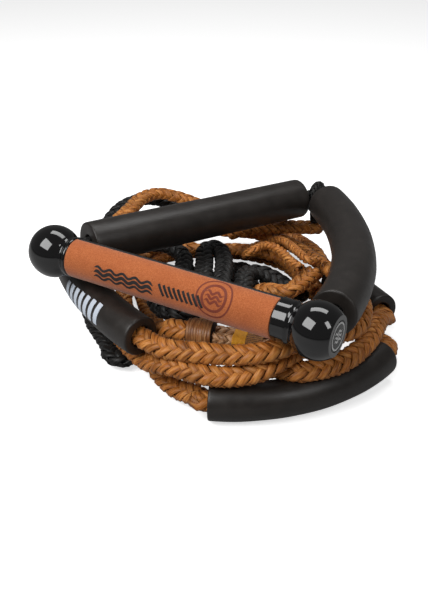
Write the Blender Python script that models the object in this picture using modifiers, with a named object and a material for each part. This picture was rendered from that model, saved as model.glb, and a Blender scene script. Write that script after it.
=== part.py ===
"""Surf tow rope handle: a 10-inch grip with ball ends on a two-legged, foam-covered
bridle, lying on its own coiled floating line.

Metres, +Z up, front is -Y.  The coil rests on the plane z = 0 and the grip and
bridle lie on top of it.  The bridle turns about the eye of the line at its apex.
Dimensions are in millimetres and are scaled once, by MM.
"""
import math

import bmesh
import bpy
from mathutils import Matrix, Vector

MM = 0.001
GAP = 0.3                    # clearance between fitted parts

# ------------------------------------------------------------------ grip and ball ends
BAR_CENTRE = (-26.7, -98.3, 78.0)
BAR_YAW = -31.2              # degrees, bar direction in plan
BRIDLE_PITCH = -3.1          # degrees, the bridle falls towards its apex
BALL_SPACING = 219.0         # centre to centre of the two ball ends
HALF_SPACING = BALL_SPACING / 2
BALL_R = 20.0
BALL_FLAT = 14.2             # flat end face from the ball's centre
NECK_R = 13.8
NECK_START_R = NECK_R + 0.4  # where the ball's surface stops at the neck groove
COLLAR_R = 15.2
COLLAR_END_RIGHT = -28.2     # inner edge of each collar from its ball's centre
COLLAR_END_LEFT = -20.4
CHAMBER_R = 8.8              # hollow inside the ball for the rope's knot
BADGE_R, BADGE_T = 10.5, 0.8
BADGE_RECESS = 1.1
BADGE_BEVEL = 0.3
TUBE_R, TUBE_BORE_R = 11.4, 9.6
TUBE_END = 12.0              # tube ends this far from each ball's centre
GRIP_R = 14.8                # over the leather
LEATHER_T = 1.1
LEATHER_BORE_R = GRIP_R - LEATHER_T
SLEEVE_R = LEATHER_BORE_R - GAP
SEAM_OPEN = 34.0             # degrees, opening of the wrap that the strip fills
SEAM_FROM_TOP = 67.0         # degrees, seam's middle from the top towards the bridle
STRIP_SIDE_GAP = 1.6         # degrees, each side of the strip
STRIP_SINK = 0.3             # strip's face below the leather's

# ------------------------------------------------------------------ bridle
LEG_R = 6.0                  # bridle rope radius
APEX_X, APEX_Y = 4.0, 223.0  # bridle apex, off the middle and from the bar axis
APEX_BEND_R = 10.0
RIGHT_LEG_R = 300.0          # the right leg is curved
ROLL_Y = 16.0                # rope exit: the axis the grip rolls about
BRIDLE_FLOAT_R, BRIDLE_BORE_R = 17.0, 6.9
LEFT_FLOAT_TO_BALL, RIGHT_FLOAT_TO_BALL = 28.0, 27.0     # along each leg
LEFT_FLOAT_TO_BEND, RIGHT_FLOAT_TO_BEND = 7.5, 10.5
LEG_STEP = 22.0              # spacing of the points along the straight left leg

MOUTH_FLARE = math.radians(27.0)
MOUTH_SEAT_R = LEG_R + 0.6
MOUTH_DEPTH = 12.0           # flared part, outwards from the seat
MOUTH_BORE_R = 4.9
STOPPER_R = 7.6

# ------------------------------------------------------------------ line
LINE_W, LINE_H = 14.0, 10.6  # flattened hollow braid
LINE_FLOAT_R, LINE_BORE_R = 15.0, 8.1
BOTTOM_FLOAT_R = 13.9        # the float that carries the coil is squeezed a little
END_LOOP_W, END_LOOP_H = 7.8, 8.6
EYE_SPLICE_W, EYE_SPLICE_H = 7.8, 6.8
BORE_RUN_OUT = 6.0           # cutters run this far past a sleeve's ends

EYE_ROPE_R = 4.0
EYE_RING_R = LEG_R + 0.9 + EYE_ROPE_R
LEAD_TOP = 41.2              # top of the lead under the eye
EYE_NECK_R = 4.7

WHIP_AT, WHIP_DIR, WHIP_LEN = (-9.0, -106.8, 46.1), (0.966, -0.257), 20.0
WHIP_W, WHIP_H = 23.0, 19.5
WHIP_BORE_W, WHIP_BORE_H = 19.2, 12.4
WHIP_TAPER = (0.88, 0.96, 1.0, 1.0, 1.0, 0.96, 0.88)
TAG_W, TAG_H, TAG_T = 22.4, 13.2, 0.8
BAND_FROM, BAND_TO, LABEL_TO = 24.5, 34.0, 46.0      # from the whipping's middle

FRAME_SHIFT = (-4.45, 9.05, -0.3)   # puts the footprint's middle on the origin


def arc(centre, radius, start, end, count):
    """count + 1 points (x, y) on a circular arc; angles in radians."""
    angles = [start + (end - start) * i / count for i in range(count + 1)]
    return [(centre[0] + radius * math.cos(a), centre[1] + radius * math.sin(a))
            for a in angles]


# ------------------------------------------------------------------ floats on the line
# plain circular arcs, parallel to the ground; start and end in degrees
STRIPED = dict(centre=(170.0, 94.0), radius=300.0, start=-137.7, end=-162.7, z=43.3)
BOTTOM = dict(centre=(12.0, -4.0), radius=142.0, start=-96.3, end=-37.5, z=14.3)
RIGHT = dict(centre=(-231.5, -187.0), radius=400.0, start=23.6, end=33.0, z=15.3)
FLOAT_RUN_PAST = 8.0         # the line keeps to the arc this far past a float's ends
FLOAT_POINT_STEP = 9.0


def float_centre_line(spec, start, end, count):
    """Points (x, y, z) between two angles, in degrees, of a float's arc."""
    flat = arc(spec["centre"], spec["radius"], math.radians(start), math.radians(end), count)
    return [(x, y, spec["z"]) for x, y in flat]


def line_through(spec):
    """Points of the line where it runs through a float."""
    extra = math.degrees(FLOAT_RUN_PAST / spec["radius"])
    if spec["end"] < spec["start"]:
        extra = -extra
    start, end = spec["start"] - extra, spec["end"] + extra
    count = int(abs(math.radians(end - start)) * spec["radius"] / FLOAT_POINT_STEP)
    return float_centre_line(spec, start, end, count)


# ------------------------------------------------------------------ line routes
# Control points (x, y, z) of the rope's centre line.
# Levels of the flat-lying rope, upwards from the ground:
LEVEL_STEP = 11.0
LOW = 5.7
MID = LOW + LEVEL_STEP
HIGH = MID + LEVEL_STEP

# starts right of the middle, inner left, front, right float, back, back-left,
# striped float on the left, front, right, back, down the left side
ROUTE_BROWN_1 = [
    (84, 7, 34), (71, -10, 33), (60, -22, 32), (50, -19, 31), (41, -14, 29),
    (30, -20, 25), (12, -28, 17), (-8, -30, 9), (-24, -38, LOW), (-33, -54, LOW),
    (-32, -74, LOW), (-23, -91, LOW), (-8, -103, 6.5), (10, -111, 10), (24, -117, 17),
    (34, -121, 24), (41, -127, 29.3), (49, -134.5, 33.2), (60, -138, 34.1),
    (74, -134.5, 34), (88, -127, 34), (101, -114.5, 34), (112, -99, 34),
    (120, -80, 32.5), (127, -61, 29), (133, -46, 22.5),
    *line_through(RIGHT),
    (96, 56, 16.5), (92, 76, 17), (84, 94, 17), (71, 112, 17), (50, 128, 20),
    (22, 135, 28), (-8, 134, 37), (-31, 137, 45), (-52, 137, 49.5), (-67, 125, 50.5),
    (-75, 103, 50.5), (-84, 78, 50), (-96, 54, 48.5), (-108, 32, 46),
    *reversed(line_through(STRIPED)),
    (-35, -125, 44.6), (-17, -133, 47), (2, -138, 48.3), (20, -143.5, 51.5),
    (38, -143.5, 54.5), (51, -137, 55.2), (63, -129, 54.8), (75, -122, 53),
    (86, -115, 50.5), (96, -107, 48), (104, -96, 45.5), (109, -83, 45), (112, -67, 43.5),
    (112.5, -50, 41), (110, -30, 38), (104.5, -10, 35.5), (97, 12, 33.5), (88, 34, 31),
    (79, 56, 28), (66, 75, HIGH), (46, 91, HIGH), (20, 99, HIGH), (-8, 102, HIGH),
    (-34, 96, HIGH), (-60, 84, HIGH), (-80, 62, 24), (-92, 34, 18), (-96, 5, MID),
    (-92, -27, MID), (-82, -50, MID)]

# carries on at the front left: front, right, inner back, inner left, bottom float at
# the front, right, back and left on the ground, up to the whipping
ROUTE_BROWN_2 = [
    (-77, -58.5, 18), (-69, -74, 19.7), (-60, -90, 20.8), (-50, -106, 22.3),
    (-41, -120, 28.4), (-31, -131, 34), (-20, -138.5, 35.8), (-8, -144, 36),
    (6, -147, 36), (18, -147.5, 37.5), (30, -147, 40.5), (42, -142, 43.8),
    (53, -132, 44.2), (64, -120.5, 42.9), (74, -109.5, 40.3), (84, -97, 37.5),
    (91, -82, 33.5), (96, -64, 30), (98, -45, 27), (97, -24, 22), (90, -2, MID),
    (81, 24, MID), (72, 46, MID), (62, 64, MID), (42, 78, MID), (18, 84, MID),
    (2, 76, 19), (-8, 66, 24), (-20, 64, HIGH), (-32, 72, HIGH), (-46, 70, HIGH),
    (-61, 58, 25), (-73, 38, 16), (-77, 16, 8), (-75, -4, 5.9), (-67.5, -24, 5.8),
    (-57.5, -44, LOW), (-49.3, -62, LOW), (-45, -80, LOW), (-41, -97, LOW),
    (-34, -111, 6.5), (-25, -124, 8.5), (-15, -134, 12), (-9, -141, 14.6),
    *line_through(BOTTOM),
    (134, -70, 10.5), (134, -59, 6.5), (123, -48, LOW), (110, -33, LOW), (100, -10, LOW),
    (88, 16, LOW), (79, 44, LOW), (70, 68, LOW), (50, 86, LOW), (24, 97, LOW),
    (-6, 101, LOW), (-36, 95, LOW), (-58, 78, LOW), (-65, 50, LOW), (-61, 20, LOW),
    (-55, -8, 8), (-49, -32, 14), (-46, -52, 19), (-43, -68, 24.5), (-40.5, -80, 31),
    (-37, -89.5, 38), (-31, -97.5, 43.5), (-23, -103, 45.7), (-17, -105, 46),
    (-13, -105.7, 46)]

# starts on the right, passes over the middle, out to the left side, front-left
# bight, back-left, end at the back
ROUTE_BLACK = [
    (76, -13, 19.5), (66, -3, 21), (56, 7, 24), (44, 14, 28), (33, 13, 31),
    (26, 2, 34), (24, -16, 35), (21, -33, 35), (14, -41, 35), (7, -33, 35.5),
    (6, -14, 36), (8, 8, 36.5), (8, 28, 37), (4, 44, 37), (-3, 48, 37),
    (-8, 39, 37), (-8, 18, 37.5), (-9, -6, 38), (-10, -30, 40), (-11, -54, 43),
    (-15, -76, 45.5), (-24, -82, 46), (-36, -76, 46), (-44, -58, 45), (-40, -30, 41),
    (-30, -8, 38), (-25, 14, 37), (-28, 33, 37.5), (-42, 45, 40), (-58, 47, 39.5),
    (-76, 46, 39), (-92, 51, 36), (-106, 47, 29), (-111, 30, 17), (-107.5, 8, 9),
    (-101.5, -13, 6), (-95.5, -32, 6), (-87, -50, 6.4), (-80.5, -65, 7.2),
    (-78, -78, 8.2), (-70, -84.5, 8.5), (-61.8, -79, 8.5), (-63.8, -66, 8),
    (-71.5, -49, 6.5), (-82, -27, LOW), (-91, -2, LOW), (-94, 24, LOW), (-97, 50, 8),
    (-102, 80, 14), (-104, 106, 22), (-96, 128, 30.5), (-84, 141, 36.3),
    (-68, 149, 38.5), (-50, 150, 36.5), (-32, 147, 31), (-16, 139, 24.5)]

# flat passes on the ground inside the coil
ROUTE_BLACK_UNDER = [(x, y, LOW) for x, y in [
    (-44, 36), (-41, 20), (-36, 2), (-30, -10), (-20, -12), (-16, 0), (-19, 22),
    (-23, 42), (-20, 56), (-10, 58), (-5, 46), (-2, 22), (1, 0), (8, -10), (17, -6),
    (17, 12), (14, 34), (12, 54), (18, 66), (28, 64), (31, 48), (33, 24), (35, 4),
    (42, -6), (51, -2), (52, 16), (48, 40), (50, 58)]]

# from under the bridle's apex, leftwards over the back of the coil
ROUTE_LEAD = [
    (99, 92.5, 35), (91, 91, 35.5), (82, 89.5, 36.5), (70, 87, 38), (54, 84, 39.5),
    (38, 81, 40), (24, 78, 39), (12, 75, 36.5)]

# long eye round the black passes
ROUTE_EYE_SPLICE = [
    (88, 11, 43), (78, 10, 44), (71, 24, 44), (64, 42, 43), (56, 56, 40), (48, 66, 32),
    (36, 68, 27), (28, 58, 26), (28, 44, 30), (28, 32, 38), (30, 24, 44), (36, 26, 46),
    (42, 32, 46), (50, 32, 45), (58, 22, 44), (64, 8, 43.5), (71, -3, 43)]

# the line's far end: out of the whipping, round and back into it
ROUTE_END_LOOP = [
    (-7, -102.8, 46.2), (4, -105, 46.2), (16, -108.2, 46.2), (28, -111.5, 46.2),
    (38, -114.6, 46.2), (44, -118, 46.2), (43.5, -122.6, 46.2), (38, -124.1, 46.2),
    (28, -121.3, 46.2), (14, -117.2, 46.2), (2, -114, 46.2), (-8, -111.8, 46.2)]


def blend(first, second, time_first, time_second, time):
    """Straight blend of two points between their times."""
    span = time_second - time_first
    return first * ((time_second - time) / span) + second * ((time - time_first) / span)


def smooth(points, step):
    """Centripetal Catmull-Rom through the control points, resampled by length."""
    knots = [Vector(p) for p in points]
    knots = [knots[0] * 2 - knots[1]] + knots + [knots[-1] * 2 - knots[-2]]
    fine = []
    for before, start, end, after in zip(knots, knots[1:], knots[2:], knots[3:]):
        at_start = (start - before).length ** 0.5
        at_end = at_start + (end - start).length ** 0.5
        at_after = at_end + (after - end).length ** 0.5
        for k in range(12):
            time = at_start + (at_end - at_start) * k / 12.0
            lead_in = blend(before, start, 0.0, at_start, time)
            middle = blend(start, end, at_start, at_end, time)
            lead_out = blend(end, after, at_end, at_after, time)
            fine.append(blend(blend(lead_in, middle, 0.0, at_end, time),
                              blend(middle, lead_out, at_start, at_after, time),
                              at_start, at_end, time))
    fine.append(knots[-2])

    lengths = [(end - start).length for start, end in zip(fine, fine[1:])]
    total = sum(lengths)
    count = int(round(total / step))
    spacing = total / count
    even, travelled = [fine[0]], 0.0
    for start, end, length in zip(fine, fine[1:], lengths):
        while travelled + length >= spacing * len(even) and len(even) < count:
            even.append(start.lerp(end, (spacing * len(even) - travelled) / length))
        travelled += length
    even.append(fine[-1])
    return even


# ------------------------------------------------------------------ scene
for old in list(bpy.data.objects):
    bpy.data.objects.remove(old, do_unlink=True)

PARTS = bpy.data.collections.new("tow_rope_handle")
GUIDES = bpy.data.collections.new("cutters_and_guides")
bpy.context.scene.collection.children.link(PARTS)
bpy.context.scene.collection.children.link(GUIDES)


# ------------------------------------------------------------------ materials
def material(name, rgb, roughness, metallic=0.0, coat=0.0):
    mat = bpy.data.materials.new(name)
    mat.use_nodes = True
    shader = mat.node_tree.nodes["Principled BSDF"]
    shader.inputs["Base Color"].default_value = (*rgb, 1.0)
    shader.inputs["Roughness"].default_value = roughness
    shader.inputs["Metallic"].default_value = metallic
    shader.inputs["Coat Weight"].default_value = coat
    mat.diffuse_color = (*rgb, 1.0)
    return mat


BROWN = material("brown_braid", rgb=(0.43, 0.14, 0.03), roughness=0.55)
BLACK_ROPE = material("black_braid", rgb=(0.008, 0.008, 0.009), roughness=0.5)
GLOSS = material("gloss_black_plastic", rgb=(0.006, 0.006, 0.007), roughness=0.12, coat=0.5)
FOAM = material("charcoal_foam", rgb=(0.022, 0.019, 0.017), roughness=0.75)
SUEDE = material("tan_suede", rgb=(0.49, 0.15, 0.05), roughness=0.9)
RUBBER = material("black_backing", rgb=(0.01, 0.01, 0.011), roughness=0.6)
ALLOY = material("anodised_tube", rgb=(0.55, 0.56, 0.58), roughness=0.35, metallic=1.0)
TWINE = material("brown_twine", rgb=(0.40, 0.15, 0.04), roughness=0.6)
YELLOW = material("yellow_band", rgb=(0.75, 0.34, 0.004), roughness=0.6)
LABEL = material("printed_label", rgb=(0.30, 0.13, 0.03), roughness=0.7)
BADGE = material("badge_black", rgb=(0.01, 0.01, 0.01), roughness=0.2)


# ------------------------------------------------------------------ tools
def place(obj, frame=None, parent=None):
    """Put an object at a world frame and keep it there under its parent."""
    if frame is None:
        frame = Matrix.Identity(4)
    obj.matrix_world = frame
    if parent is not None:
        obj.parent = parent
        obj.matrix_parent_inverse = parent.matrix_world.inverted()
        obj.matrix_basis = frame


def shift(x, y, z):
    """Translation by millimetres."""
    return Matrix.Translation(Vector((x, y, z)) * MM)


def empty(name, position, frame, parent=None):
    obj = bpy.data.objects.new(name, None)
    obj.empty_display_size = 0.01
    GUIDES.objects.link(obj)
    place(obj, frame @ shift(*position), parent)
    return obj


def mark_helper(obj):
    obj.hide_render = True
    obj.display_type = "WIRE"


def add_boolean(obj, tool, name, operation):
    modifier = obj.modifiers.new(name, "BOOLEAN")
    modifier.operation = operation
    modifier.solver = "EXACT"
    modifier.object = tool
    mark_helper(tool)


def cut(obj, cutter):
    add_boolean(obj, cutter, "cut_" + cutter.name, "DIFFERENCE")


def add_loop(curve, points):
    """Closed polyline of (x, y) points."""
    spline = curve.splines.new("POLY")
    spline.points.add(len(points) - 1)
    for target, (x, y) in zip(spline.points, points):
        target.co = (x * MM, y * MM, 0, 1)
    spline.use_cyclic_u = True


def ellipse_guide(name, half_width, half_height, sides):
    """Section that a rope is swept with; a flat faces sideways on either hand."""
    # a coarse section lies between the polygons inside and outside its ellipse
    swell = (1.0 / math.cos(math.pi / sides)) ** 0.5 if sides <= 8 else 1.0
    angles = [-2 * math.pi * (i + 0.5) / sides for i in range(sides)]
    curve = bpy.data.curves.new(name, "CURVE")
    curve.dimensions = "2D"
    add_loop(curve, [(half_width * math.cos(a) * swell, half_height * math.sin(a) * swell)
                     for a in angles])
    obj = bpy.data.objects.new(name, curve)
    mark_helper(obj)
    GUIDES.objects.link(obj)
    return obj


def sweep(name, points, guide, mat=None, scales=None, collection=PARTS):
    """A rope or tube: a POLY spline with the guide's section and filled ends."""
    curve = bpy.data.curves.new(name, "CURVE")
    curve.dimensions = "3D"
    curve.twist_mode = "Z_UP"
    curve.bevel_mode = "OBJECT"
    curve.bevel_object = guide
    curve.use_fill_caps = True
    spline = curve.splines.new("POLY")
    spline.points.add(len(points) - 1)
    for i, (x, y, z) in enumerate(points):
        spline.points[i].co = (x * MM, y * MM, z * MM, 1)
        if scales:
            spline.points[i].radius = scales[i]
    obj = bpy.data.objects.new(name, curve)
    collection.objects.link(obj)
    if mat:
        curve.materials.append(mat)
    return obj


def to_mesh(swept, name, mat, collection):
    """Replace a swept curve by a welded mesh object."""
    bpy.context.view_layer.update()
    depsgraph = bpy.context.evaluated_depsgraph_get()
    mesh = bpy.data.meshes.new_from_object(swept.evaluated_get(depsgraph))
    bm = bmesh.new()
    bm.from_mesh(mesh)
    bmesh.ops.remove_doubles(bm, verts=bm.verts, dist=0.000002)
    bmesh.ops.recalc_face_normals(bm, faces=bm.faces)
    bm.to_mesh(mesh)
    bm.free()
    bpy.data.objects.remove(swept, do_unlink=True)
    obj = bpy.data.objects.new(name, mesh)
    collection.objects.link(obj)
    mesh.materials.clear()
    if mat:
        mesh.materials.append(mat)
    mesh.shade_smooth()
    mesh.set_sharp_from_angle(angle=math.radians(40))
    return obj


def turned(name, profile, mat, steps, frame, parent=None, collection=PARTS, ring=False):
    """Solid of revolution about local z from (radius, z) points.

    The outline runs down the outer side, top to bottom; ring closes it on itself."""
    mesh = bpy.data.meshes.new(name)
    bm = bmesh.new()
    verts = [bm.verts.new((radius * MM, 0, z * MM)) for radius, z in profile]
    for start, end in zip(verts, verts[1:]):
        bm.edges.new((start, end))
    if ring:
        bm.edges.new((verts[-1], verts[0]))
    bm.to_mesh(mesh)
    bm.free()
    obj = bpy.data.objects.new(name, mesh)
    collection.objects.link(obj)
    screw = obj.modifiers.new("turn", "SCREW")
    screw.axis = "Z"
    screw.angle = 2 * math.pi
    screw.steps = screw.render_steps = steps
    screw.use_merge_vertices = True
    screw.merge_threshold = 0.00001
    screw.use_normal_calculate = False
    if mat:
        mesh.materials.append(mat)
    place(obj, frame, parent)
    return obj


def sleeve(name, points, outer, bore, mat, frame=None, parent=None, sides=24, scales=None):
    """Sleeve along a centre line, bored right through.

    outer and bore are (half width, half height); scales taper the outside only."""
    outer_guide = ellipse_guide("section_" + name, *outer, sides)
    bore_guide = ellipse_guide("bore_" + name, *bore, 14)
    body = to_mesh(sweep(name + "_c", points, outer_guide, scales=scales), name, mat, PARTS)
    line = [Vector(p) for p in points]
    line.insert(0, line[0] + (line[0] - line[1]).normalized() * BORE_RUN_OUT)
    line.append(line[-1] + (line[-1] - line[-2]).normalized() * BORE_RUN_OUT)
    cutter = to_mesh(sweep(name + "_b", line, bore_guide, collection=GUIDES),
                     name + "_bore", None, GUIDES)
    place(body, frame, parent)
    place(cutter, frame, parent)
    cut(body, cutter)


def domed(path, radius):
    """Round both ends of a flat centre line: extra points with a shrinking radius.

    Returns the points and the scale of the section at each."""
    dome_steps = (0.35, 0.7, 0.92)           # fractions of the radius beyond the end
    line = [Vector((x, y, 0.0)) for x, y in path]
    head = (line[0] - line[1]).normalized()
    tail = (line[-1] - line[-2]).normalized()
    before = [line[0] + head * radius * k for k in reversed(dome_steps)]
    after = [line[-1] + tail * radius * k for k in dome_steps]
    shrink = [math.sqrt(1 - k * k) for k in dome_steps]
    return before + line + after, shrink[::-1] + [1.0] * len(line) + shrink


# ------------------------------------------------------------------ frames and axes
# bridle frame: x along the bar, y towards the apex, z up from the bridle's plane
YAW_TURN = Matrix.Rotation(math.radians(BAR_YAW), 4, "Z")
FRAME = shift(*BAR_CENTRE) @ YAW_TURN @ Matrix.Rotation(math.radians(BRIDLE_PITCH), 4, "X")
# bar frame: local z along the bar, local x down, local y to the apex side
ALONG = FRAME @ Matrix.Rotation(math.pi / 2, 4, "Y")

SWING_AXIS = empty("bridle_swing_axis", (APEX_X, APEX_Y, 0.0), FRAME)
ROLL_AXIS = empty("handle_roll_axis", (0.0, ROLL_Y, 0.0), FRAME)

# ------------------------------------------------------------------ bridle centre lines
# all in the bridle frame's xy plane
BEND_CENTRE = (APEX_X, APEX_Y - APEX_BEND_R)

# left leg: straight from the ball, tangent to the outside of the apex bend
bend_offset = (HALF_SPACING + APEX_X, BEND_CENTRE[1])
bend_distance = math.hypot(*bend_offset)
LEAN = math.atan2(*bend_offset) - math.asin(APEX_BEND_R / bend_distance)
LEFT_LEG_LEN = math.sqrt(bend_distance ** 2 - APEX_BEND_R ** 2)


def left_leg(distance):
    """Point (x, y) on the left leg, by its distance from the ball's centre."""
    return (-HALF_SPACING + distance * math.sin(LEAN), distance * math.cos(LEAN))


def right_leg_centre():
    """Centre of the arc through the right ball's centre, tangent to the bend outside."""
    to_bend = RIGHT_LEG_R - APEX_BEND_R
    chord_x, chord_y = BEND_CENTRE[0] - HALF_SPACING, BEND_CENTRE[1]
    chord = math.hypot(chord_x, chord_y)
    along = (RIGHT_LEG_R ** 2 - to_bend ** 2 + chord ** 2) / (2 * chord)
    across = math.sqrt(RIGHT_LEG_R ** 2 - along ** 2)
    unit_x, unit_y = chord_x / chord, chord_y / chord
    return (HALF_SPACING + unit_x * along - unit_y * across,
            unit_y * along + unit_x * across)


ARC_CENTRE = right_leg_centre()
ARC_AT_BALL = math.atan2(-ARC_CENTRE[1], HALF_SPACING - ARC_CENTRE[0])
ARC_AT_BEND = math.atan2(BEND_CENTRE[1] - ARC_CENTRE[1], APEX_X - ARC_CENTRE[0])
ARC_AT_EXIT = math.asin((ROLL_Y - ARC_CENTRE[1]) / RIGHT_LEG_R)

# the rope's seat in each ball: distance from the ball's centre and turn in plan
LEFT_SEAT = ROLL_Y / math.cos(LEAN)
right_exit_inset = HALF_SPACING - (ARC_CENTRE[0] + RIGHT_LEG_R * math.cos(ARC_AT_EXIT))
RIGHT_SEAT = math.hypot(right_exit_inset, ROLL_Y)
RIGHT_TURN = math.atan2(right_exit_inset, ROLL_Y)

# ------------------------------------------------------------------ grip
GRIP_FROM = -HALF_SPACING - COLLAR_END_LEFT + GAP
GRIP_TO = HALF_SPACING + COLLAR_END_RIGHT - GAP
GRIP_HALF = (GRIP_TO - GRIP_FROM) / 2
ON_GRIP = ALONG @ shift(0, 0, (GRIP_FROM + GRIP_TO) / 2)


def pipe(name, outer_r, bore_r, half_length, mat, frame):
    turned(name, [(outer_r, half_length), (outer_r, -half_length),
                  (bore_r, -half_length), (bore_r, half_length)],
           mat, 24, frame, ROLL_AXIS, ring=True)


def grip_shell(name, outer_r, from_deg, to_deg, count, mat):
    """C-shaped shell on the sleeve, as long as the grip; angles from local +x."""
    start, end = math.radians(from_deg), math.radians(to_deg)
    curve = bpy.data.curves.new(name, "CURVE")
    curve.dimensions = "2D"
    curve.fill_mode = "BOTH"
    curve.extrude = GRIP_HALF * MM
    add_loop(curve, arc((0, 0), outer_r, start, end, count)
             + arc((0, 0), LEATHER_BORE_R, start, end, count)[::-1])
    obj = bpy.data.objects.new(name, curve)
    PARTS.objects.link(obj)
    curve.materials.append(mat)
    place(obj, ON_GRIP, ROLL_AXIS)


pipe("handle_tube", TUBE_R, TUBE_BORE_R, HALF_SPACING - TUBE_END, ALLOY, ALONG)
pipe("grip_sleeve", SLEEVE_R, TUBE_R + GAP, GRIP_HALF, RUBBER, ON_GRIP)

SEAM = 180.0 - SEAM_FROM_TOP         # local +x points down
SEAM_START, SEAM_END = SEAM - SEAM_OPEN / 2, SEAM + SEAM_OPEN / 2
grip_shell("leather_wrap", GRIP_R, SEAM_END, SEAM_START + 360, 40, SUEDE)
grip_shell("seam_strip", GRIP_R - STRIP_SINK, SEAM_START + STRIP_SIDE_GAP,
           SEAM_END - STRIP_SIDE_GAP, 5, RUBBER)


# ------------------------------------------------------------------ ball ends
def knob_profile(collar_end):
    """Badge recess, flat face, ball, vee groove, collar, tube bore and knot chamber."""
    recess_z, recess_r = BALL_FLAT - BADGE_RECESS, BADGE_R + GAP
    flat_r = math.sqrt(BALL_R ** 2 - BALL_FLAT ** 2)
    neck_z = -math.sqrt(BALL_R ** 2 - NECK_START_R ** 2)
    ball = arc((0, 0), BALL_R, math.asin(BALL_FLAT / BALL_R), math.asin(neck_z / BALL_R), 13)
    ball[0] = (ball[0][0], ball[0][1] - 0.15)        # softens the flat face's edge
    return [
        (0.0, recess_z), (recess_r, recess_z), (recess_r, BALL_FLAT), (flat_r - 0.3, BALL_FLAT),
        *ball,
        (NECK_R, neck_z - 0.9), (NECK_R + 0.1, neck_z - 1.9),
        (COLLAR_R - 0.5, neck_z - 3.1), (COLLAR_R, neck_z - 3.8),
        (COLLAR_R, collar_end + 0.6), (COLLAR_R - 0.6, collar_end),
        (TUBE_R + GAP, collar_end), (TUBE_R + GAP, -TUBE_END + GAP),
        (CHAMBER_R, -TUBE_END + GAP), (CHAMBER_R, 4.0), (6.2, 7.2), (0.0, 8.0)]


def mouth_profile(seat):
    """Cutter for the rope: flare, round seat and a bore into the chamber."""
    outer_r = (MOUTH_SEAT_R + MOUTH_DEPTH * math.sin(MOUTH_FLARE)) / math.cos(MOUTH_FLARE)
    round_seat = [(MOUTH_SEAT_R * math.cos(a), seat - MOUTH_SEAT_R * math.sin(a))
                  for a in map(math.radians, (18, 30, 42))]
    return [
        (0.0, seat + MOUTH_DEPTH), (outer_r, seat + MOUTH_DEPTH),
        (MOUTH_SEAT_R / math.cos(MOUTH_FLARE), seat),
        *round_seat,
        (MOUTH_BORE_R, seat - 5.2), (MOUTH_BORE_R, 3.0), (0.0, 3.0)]


def ball_end(side, at_x, flip, collar_end, rope_turn, seat):
    """Ball with its rope mouth, end badge and the rope's stopper knot inside."""
    frame = ALONG @ shift(0, 0, at_x) @ Matrix.Rotation(flip, 4, "X")
    rope_frame = (FRAME @ shift(at_x, 0, 0) @ Matrix.Rotation(rope_turn, 4, "Z")
                  @ Matrix.Rotation(-math.pi / 2, 4, "X"))

    knob = turned(side + "_knob", knob_profile(collar_end), GLOSS, 32, frame, ROLL_AXIS)
    cut(knob, turned(side + "_knob_mouth", mouth_profile(seat), None, 20, rope_frame,
                     collection=GUIDES))

    base = BALL_FLAT - BADGE_RECESS + GAP
    top = base + BADGE_T
    turned(side + "_end_badge",
           [(0, top), (BADGE_R - BADGE_BEVEL, top), (BADGE_R, top - BADGE_BEVEL),
            (BADGE_R, base), (0, base)],
           BADGE, 32, frame, ROLL_AXIS)

    stopper = arc((0, 0), STOPPER_R, math.radians(40), math.radians(-60), 5)
    turned(side + "_rope_knot",
           [(0, 8.9), (4.3, 8.9), (4.3, 6.4), *stopper, (0, -STOPPER_R)],
           BLACK_ROPE, 16, rope_frame, ROLL_AXIS)


ball_end("left", -HALF_SPACING, flip=math.pi, collar_end=COLLAR_END_LEFT,
         rope_turn=-LEAN, seat=LEFT_SEAT)
ball_end("right", HALF_SPACING, flip=0.0, collar_end=COLLAR_END_RIGHT,
         rope_turn=RIGHT_TURN, seat=RIGHT_SEAT)


# ------------------------------------------------------------------ bridle parts
def bridle_path():
    """Rope from the left ball's seat, round the apex, to the right ball's seat."""
    path = []
    distance = LEFT_SEAT
    while distance < LEFT_LEG_LEN - 2:
        path.append(left_leg(distance))
        distance += LEG_STEP
    path.append(left_leg(LEFT_LEG_LEN))
    path += arc(BEND_CENTRE, APEX_BEND_R, math.pi - LEAN, ARC_AT_BEND, 8)[1:]
    path += arc(ARC_CENTRE, RIGHT_LEG_R, ARC_AT_BEND, ARC_AT_EXIT, 22)[1:]
    return path


rope_points, rope_scales = domed(bridle_path(), LEG_R)
rope = sweep("bridle_rope", rope_points,
             ellipse_guide("section_bridle_rope", LEG_R, LEG_R, 12), BLACK_ROPE, rope_scales)
place(rope, FRAME, SWING_AXIS)

empty("right_float_arc_centre", (*ARC_CENTRE, 0.0), FRAME, SWING_AXIS)
left_float_line = [left_leg(LEFT_FLOAT_TO_BALL), left_leg(LEFT_LEG_LEN - LEFT_FLOAT_TO_BEND)]
right_float_line = arc(ARC_CENTRE, RIGHT_LEG_R,
                       ARC_AT_BALL + RIGHT_FLOAT_TO_BALL / RIGHT_LEG_R,
                       ARC_AT_BEND - RIGHT_FLOAT_TO_BEND / RIGHT_LEG_R, 16)
for side, flat_line in (("left", left_float_line), ("right", right_float_line)):
    sleeve(side + "_bridle_float", [(x, y, 0.0) for x, y in flat_line],
           (BRIDLE_FLOAT_R, BRIDLE_FLOAT_R), (BRIDLE_BORE_R, BRIDLE_BORE_R),
           FOAM, FRAME, SWING_AXIS)

# ------------------------------------------------------------------ line and its floats
LINE_GUIDE = ellipse_guide("section_line", LINE_W / 2, LINE_H / 2, 8)
EYE_GUIDE = ellipse_guide("section_eye_splice", EYE_SPLICE_W / 2, EYE_SPLICE_H / 2, 8)
END_GUIDE = ellipse_guide("section_end_loop", END_LOOP_W / 2, END_LOOP_H / 2, 8)

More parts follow.
